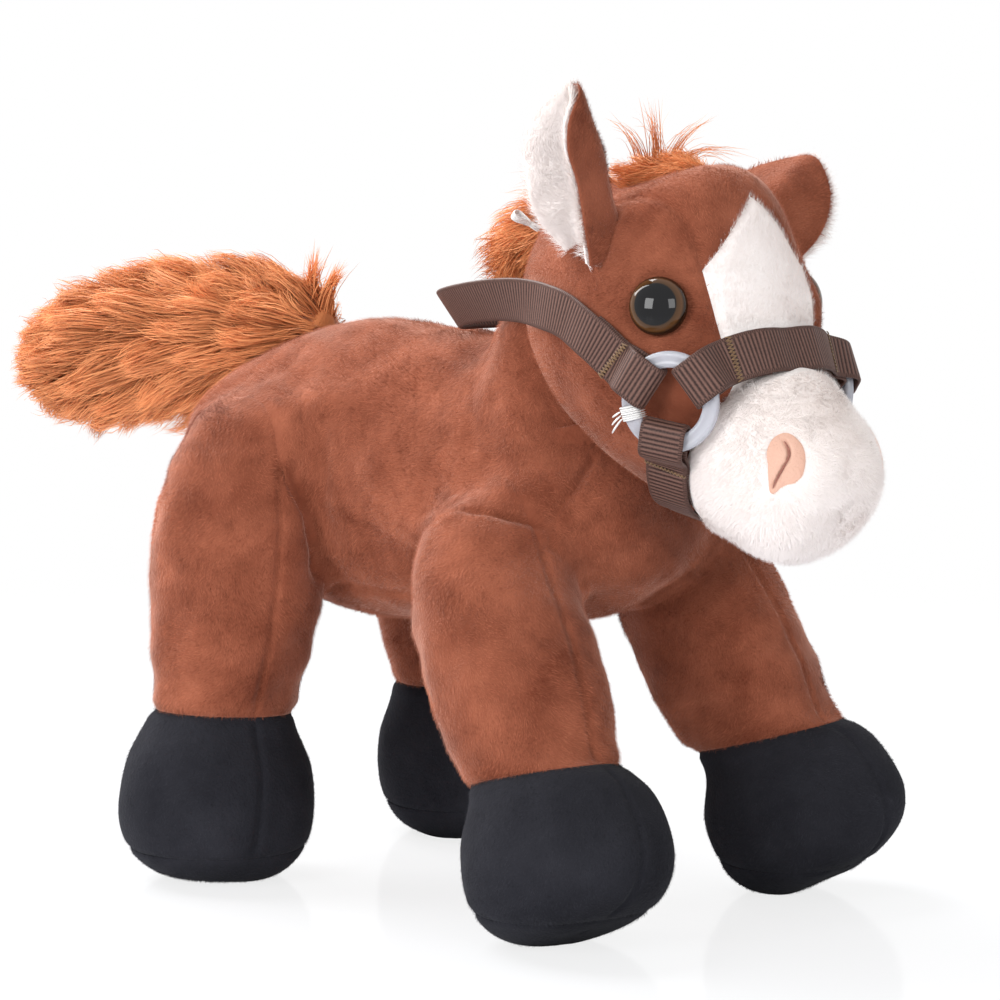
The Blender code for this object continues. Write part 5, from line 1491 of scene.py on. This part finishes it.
def loop_object(name, grid, finish):
    """A ring that closes on itself both ways, with a flat map of its two turns."""
    rows, sides = grid.shape[:2]
    row, k = (m.ravel() for m in np.meshgrid(np.arange(rows), np.arange(sides), indexing="ij"))
    next_row, after = (row + 1) % rows, (k + 1) % sides
    quads = np.stack([row * sides + k, row * sides + after, next_row * sides + after, next_row * sides + k], -1)
    flat = np.stack([np.stack([(k + du) / sides, (row + dv) / rows], -1) for du, dv in ((0, 0), (1, 0), (1, 1), (0, 1))], 1)
    points = grid.reshape(-1, 3)
    p = points[quads] - points.mean(0)
    if (p[:, 0] * np.cross(p[:, 1], p[:, 2])).sum() < 0:
        quads, flat = quads[:, ::-1], flat[:, ::-1]
    item = make_mesh(name, points, [quads], [flat])
    item.data.materials.append(finish)
    return item


def tie_paths(rng):
    """Seven turns of thread over the ring's bar, from the cheek outside it to the cheek inside,
    and three loose ends."""
    centre, normal, forward, up = ring
    spoke = forward * math.cos(math.radians(-130)) + up * math.sin(math.radians(-130))
    beside = np.cross(normal, spoke)
    middle = (RING - BAR) / 2
    s = np.linspace(0, 1, 24)
    paths = []
    for k in range(7):
        shift = (k - 3) * 0.00042 + rng.normal() * 0.00008
        out = middle + (BAR / 2 + 0.0004) * np.cos(math.pi * s)
        high = (BAR_HIGH / 2 + 0.00045 + 0.00012 * (k % 2)) * np.sin(math.pi * s) ** 0.45 - 0.0030 * (np.abs(2 * s - 1) ** 6)
        paths.append(centre + spoke * out[:, None] + normal * high[:, None] + beside * (shift + 0.0003 * (s - 0.5))[:, None])
    for k in range(3):
        way = unit(spoke * (0.8 - 0.3 * k) - up * (0.5 + 0.4 * k) + normal * 0.35)
        begin = centre + spoke * (middle + BAR / 2 + 0.0002) + normal * 0.0012 + beside * (k - 1) * 0.0007
        paths.append(begin + way * (s * (0.0026 + 0.0008 * k))[:, None] - normal * (s**2 * 0.0022)[:, None])
    return np.array(paths)


rng = np.random.default_rng(71)
for name in ("right", "left"):
    place = (lambda points: points) if name == "right" else mirror
    item = loop_object("ring_" + name, place(ring_grid()), ring_look)
    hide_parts("halter_ring_" + name)
    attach(item, "head")
    item = threads_object("tie_thread_" + name, place(tie_paths(rng)), 0.00021, white_thread)
    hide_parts("ring_tie_" + name)

place, outwards = on_surface(on_head(-0.0105, -0.0310, 0.002), -HEAD_AXIS)
beside = unit(HEAD_CREST - outwards * (HEAD_CREST @ outwards))
sideways = np.cross(outwards, beside)
s = np.linspace(0, 1, 90)
loop = place + sideways * (0.0022 * np.sin(2 * math.pi * s) * np.sin(math.pi * s))[:, None] + outwards * (
    0.0005 + 0.0066 * np.sin(math.pi * s) ** 0.8)[:, None]
loop += sideways * (0.0008 * (s - 0.5))[:, None]
strands = np.array([loop + beside * (k * 0.00045) + outwards * 0.0001 * (k % 2) for k in (-1, 0, 1)])
item = threads_object("hang_loop", strands, 0.0003, white_thread)
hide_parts("tag_loop")

# %% [markdown]
# ## Tail, mane and forelock
#
# These are tufts of long pile, fifteen to twenty millimetres, in flattened locks that all sweep to
# the tip. Loose single hairs would look like a brush, so hairs are drawn together in locks: each
# hair is a bent ribbon from its root to a tip that lies mostly at its lock's own tip.

# %% Long pile
def hair_object(name, hairs, width):
    """Tapering hairs along curves with one control point. Place s on a hair is root (1-s)^2 +
    control 2s(1-s) + tip s^2, with the width falling towards the tip. Each hair's flat side is
    turned by chance about its own length."""
    roots, controls, tips, tones = hairs
    rng = np.random.default_rng(len(roots))
    s = np.linspace(0, 1, 5)[None, :, None]
    line = roots[:, None] * (1 - s) ** 2 + controls[:, None] * 2 * s * (1 - s) + tips[:, None] * s**2
    ahead = unit(np.gradient(line, axis=1))
    aside = unit(np.cross(ahead, unit(rng.normal(size=(len(roots), 1, 3)) + unit(controls - roots)[:, None])))
    half = aside * (width / 2 * (1 - 0.75 * s)) * rng.uniform(0.7, 1.3, (len(roots), 1, 1))
    pairs = np.stack([line + half, line - half], 2).reshape(len(roots), 10, 3)[:, :9]
    pairs[:, 8] = line[:, 4]
    # Painted shade: each hair darkens towards its root and pales towards its tip.
    heights = np.repeat(np.linspace(0, 1, 5), 2)[:9]
    item = fibre_object(name, pairs, heights, tones, PILE["russet"], 5)
    print(name, len(roots), "hairs")
    return item


def spine_of(form, a):
    """The middle of a form's section at an angle along it."""
    return (stuffed(form, a, np.zeros_like(a)) + stuffed(form, a, np.full_like(a, math.pi))) / 2


def locks(form, count, clumps, seed, core, sweep, proud, spread, closeness, loose=0.0009, pale=0.5):
    """Roots, controls, tips and tones of a form's hair. A root is a point of the form drawn in to
    a share of its size. Its tip is a point of the whole form further along by the sweep, moved
    some of the way to its lock's tip, which stands a little beyond the form or falls short."""
    rng = np.random.default_rng(seed)
    a = np.arccos(1 - 2 * rng.uniform(0.004, 0.97, count))
    u = rng.uniform(0, 2 * math.pi, count)
    lock_a = np.arccos(1 - 2 * rng.uniform(0.004, 0.97, clumps))
    lock_u = rng.uniform(0, 2 * math.pi, clumps)
    near = np.concatenate([
        (((a[k : k + 2000, None] - lock_a) ** 2 + (np.angle(np.exp(1j * (u[k : k + 2000, None] - lock_u))) * 0.6) ** 2))
        .argmin(1) for k in range(0, count, 2000)])
    axis = spine_of(form, a)
    root = axis + (stuffed(form, a, u) - axis) * core

    def tip_of(a, u, sweep, proud):
        ahead = np.minimum(a + sweep, math.pi - 0.02)
        spine = spine_of(form, ahead)
        return spine + (stuffed(form, ahead, u) - spine) * proud[:, None]

    sweeps = sweep * rng.uniform(0.5, 1.5, clumps)
    own = tip_of(a, u, sweep * rng.uniform(0.6, 1.4, count), rng.uniform(1 - spread, 1, count) * proud)
    shared = tip_of(lock_a, lock_u, sweeps, rng.uniform(1 - spread, 1 + spread / 2, clumps) * proud)
    tip = own + (shared[near] - own) * closeness * rng.uniform(0.6, 1.2, (count, 1))
    tip += rng.normal(size=(count, 3)) * loose
    outwards = unit(stuffed(form, a, u) - axis)
    control = (root + tip) / 2 + outwards * (np.linalg.norm(tip - root, axis=1) * 0.22)[:, None]
    control += rng.normal(size=(count, 3)) * loose + (rng.normal(size=(clumps, 3)) * loose * 2.2)[near]
    tones = np.clip(pale + rng.normal(size=clumps)[near] * 0.20 + rng.normal(size=count) * 0.20, 0, 1)
    return root, control, tip, tones


def sprigs(bases, ways, each, seed):
    """A few loose locks: from each base, hairs to the base plus its way, spread by a tenth of its
    length, on curves that start straight up."""
    rng = np.random.default_rng(seed)
    base, way = (np.repeat(np.array(v, float), each, 0) for v in (bases, ways))
    long = np.linalg.norm(way, axis=1, keepdims=True)
    root = base + rng.normal(size=base.shape) * 0.0008
    tip = base + way * rng.uniform(0.55, 1.05, (len(base), 1)) + rng.normal(size=base.shape) * long * 0.10
    control = root + UP * long * 0.35 + way * 0.25
    return root, control, tip, np.clip(0.85 + rng.normal(size=len(base)) * 0.2, 0, 1)


def both(first, second):
    """Two sets of hairs as one."""
    return tuple(np.concatenate(pair) for pair in zip(first, second))


# %% [markdown]
# ## Growing the tail, the mane and the forelock
#
# Under the tail's hair is a stuffed core, so that no gap shows through. The tail carries fine
# hair and fuller tufts, the mane and the forelock one kind each, with a few loose sprigs.

# %% Tail, mane and forelock
core_a, core_u = np.meshgrid(np.linspace(0, math.pi, 60), np.linspace(0, 2 * math.pi, 65)[:-1], indexing="ij")
whole = stuffed(TAIL, core_a, core_u)
axis = whole.mean(1, keepdims=True)
# The core's russet backing is painted darker, as the shade under the hair.
item = grid_object("tail_core", axis[0] + (axis - axis[0]) * 0.93 + (whole - axis) * 0.60, BACKING["russet"])
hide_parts("tail_skin", "tail_filling")
tail_root, TAIL_WIDE = at(0, -0.062, 0.1245), 0.00030
wisps = sprigs([tail_root, tail_root - FORWARD * 0.004],
               [toward(0.001, 0.006, 0.010), toward(0.0, 0.002, 0.013)], 160, 84)
fine = locks(TAIL, int(15000 * SHARE), 380, 81, 0.50, 0.24, 1.03, 0.34, 0.55)
fine = hair_object("tail_hair", both(fine, wisps), TAIL_WIDE)
tufts = locks(TAIL, int(17000 * SHARE), 170, 88, 0.55, 0.30, 1.10, 0.24, 0.84)
tufts = hair_object("tail_tufts", tufts, TAIL_WIDE)
for one in (item, fine, tufts):
    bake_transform(one)

mane = locks(MANE, int(6500 * SHARE), 70, 82, 0.35, 0.55, 1.45, 0.45, 0.50, 0.0012, 0.75)
hair = hair_object("mane_hair", mane, 0.00024)
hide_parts("mane")
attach(hair, "head")
crest = [at(0, forward, 0.1575) for forward in (0.036, 0.040, 0.040, 0.043, 0.046)]
ways = [toward(-0.0050, -0.0050, 0.0105), toward(-0.0024, -0.0022, 0.0135), toward(-0.0006, -0.0006, 0.0135),
        toward(0.0060, 0.0060, 0.0100), toward(0.0110, 0.0100, 0.0025)]
low_tuft = (FORELOCK[0] - UP * 0.0030, FORELOCK[1] - UP * 0.0030) + FORELOCK[2:]
forelock = locks(low_tuft, int(5200 * SHARE), 60, 83, 0.3, 0.5, 0.95, 0.35, 0.4, 0.0009, 0.85)
hair = hair_object("forelock_hair", both(forelock, sprigs(crest, ways, 22, 85)), 0.00020)
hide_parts("forelock")
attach(hair, "head")

# %% [markdown]
# ## Washers
#
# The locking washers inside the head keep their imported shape. They are moulded in grey plastic,
# with a faint grain from the mould.

# %% Washer finish
washer_look, nodes, links, shader = new_finish("washer_plastic", {"Roughness": 0.4})
grey = mixed(nodes, links, noise_at(nodes, links, 700.0), (0.50, 0.50, 0.52), (0.62, 0.62, 0.64))
links.new(grey, shader.inputs["Base Color"])
for name in ("right", "left"):
    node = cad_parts["eye_washer_" + name]
    node.data.materials.clear()
    node.data.materials.append(washer_look)
print("washers finished: 2")

# %% [markdown]
# ## Floor, light and camera
#
# The photograph is a product picture: a white sweep that keeps a faint reflection, and two soft
# boxes beside the camera, which show in the eyes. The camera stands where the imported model's
# outline falls on the photograph's.

# %% Floor and backdrop
RIGHT = unit(np.array([0.6947, -0.7193, 0]))
BACK = unit(np.array([-0.7160, -0.6915, 0.0958]))
RISE = np.cross(BACK, RIGHT)
AIM = np.array([0.00305, -0.02687, 0.08421])
scene = bpy.context.scene


def seen_directly(nodes, links):
    """One for a ray from the camera, off a shiny face or through plastic, and else zero."""
    rays = nodes.new("ShaderNodeLightPath").outputs
    straight = maths(nodes, links, "MAXIMUM", rays["Is Camera Ray"], rays["Is Glossy Ray"])
    return maths(nodes, links, "MAXIMUM", straight, rays["Is Transmission Ray"])


floor_look, nodes, links, shader = new_finish("white_floor", {
    "Base Color": (0.90, 0.92, 0.97, 1), "Roughness": 0.12, "Specular IOR Level": 0.6})
away = nodes.new("ShaderNodeVectorMath")
away.operation = "LENGTH"
links.new(nodes.new("ShaderNodeTexCoord").outputs["Object"], away.inputs[0])
fade = nodes.new("ShaderNodeMapRange")
fade.interpolation_type = "SMOOTHSTEP"
fade.inputs["From Min"].default_value, fade.inputs["From Max"].default_value = 0.16, 0.55
links.new(away.outputs["Value"], fade.inputs["Value"])
glow, whiten = nodes.new("ShaderNodeEmission"), nodes.new("ShaderNodeMixShader")
seen = seen_directly(nodes, links)
links.new(maths(nodes, links, "MULTIPLY", seen, 0.80), whiten.inputs["Fac"])
links.new(shader.outputs["BSDF"], whiten.inputs[1])
links.new(glow.outputs["Emission"], whiten.inputs[2])
clear = nodes.new("ShaderNodeBsdfTransparent")
blend_in = nodes.new("ShaderNodeMixShader")
links.new(fade.outputs["Result"], blend_in.inputs["Fac"])
links.new(whiten.outputs["Shader"], blend_in.inputs[1])
links.new(clear.outputs["BSDF"], blend_in.inputs[2])
links.new(blend_in.outputs["Shader"], nodes["Material Output"].inputs["Surface"])
corner = np.array([[-1.2, -1.2, 0], [1.2, -1.2, 0], [1.2, 1.2, 0], [-1.2, 1.2, 0]])
flat = np.array([[[0, 0], [1, 0], [1, 1], [0, 1]]], float)
floor = make_mesh("floor", corner, [np.array([[0, 1, 2, 3]])], [flat])
floor.data.materials.append(floor_look)
print("floor is", corner[2, 0] - corner[0, 0], "m wide")

# %% World and lamps
world = bpy.data.worlds.new("studio")
scene.world = world
world.use_nodes = True
nodes, links = world.node_tree.nodes, world.node_tree.links
background = nodes["Background"]
background.inputs["Color"].default_value = (1, 1, 1, 1)
seen = seen_directly(nodes, links)
strength = nodes.new("ShaderNodeMapRange")
strength.inputs["To Min"].default_value, strength.inputs["To Max"].default_value = 0.49, 1.0
links.new(seen, strength.inputs["Value"])
links.new(strength.outputs["Result"], background.inputs["Strength"])


def soft_box(name, right, rise, back, width, height, power):
    """A rectangular lamp placed by its distance to the camera's right, up and towards the camera,
    aimed at the toy."""
    lamp = bpy.data.lights.new(name, "AREA")
    lamp.shape, lamp.size, lamp.size_y, lamp.energy = "RECTANGLE", width, height, power
    item = bpy.data.objects.new(name, lamp)
    scene.collection.objects.link(item)
    spot = AIM + RIGHT * right + RISE * rise + BACK * back
    item.location = spot
    item.rotation_euler = Vector(AIM - spot).to_track_quat("-Z", "Y").to_euler()


soft_box("left_window", -0.70, 0.28, 0.86, 0.44, 0.50, 6.8)
soft_box("right_window", 0.48, 0.28, 1.05, 0.44, 0.50, 4.0)
soft_box("top_box", -0.58, 0.90, -0.42, 0.90, 0.90, 28.0)

camera = bpy.data.cameras.new("camera")
camera.lens, camera.sensor_width = 131.04, 36.0
camera_object = bpy.data.objects.new("camera", camera)
scene.collection.objects.link(camera_object)
camera_object.location = AIM + BACK * 0.800
camera_object.rotation_euler = Vector(-BACK).to_track_quat("-Z", "Y").to_euler()
scene.camera = camera_object
scene.view_settings.view_transform = "Standard"
print("camera at", np.array(camera_object.location).round(3))
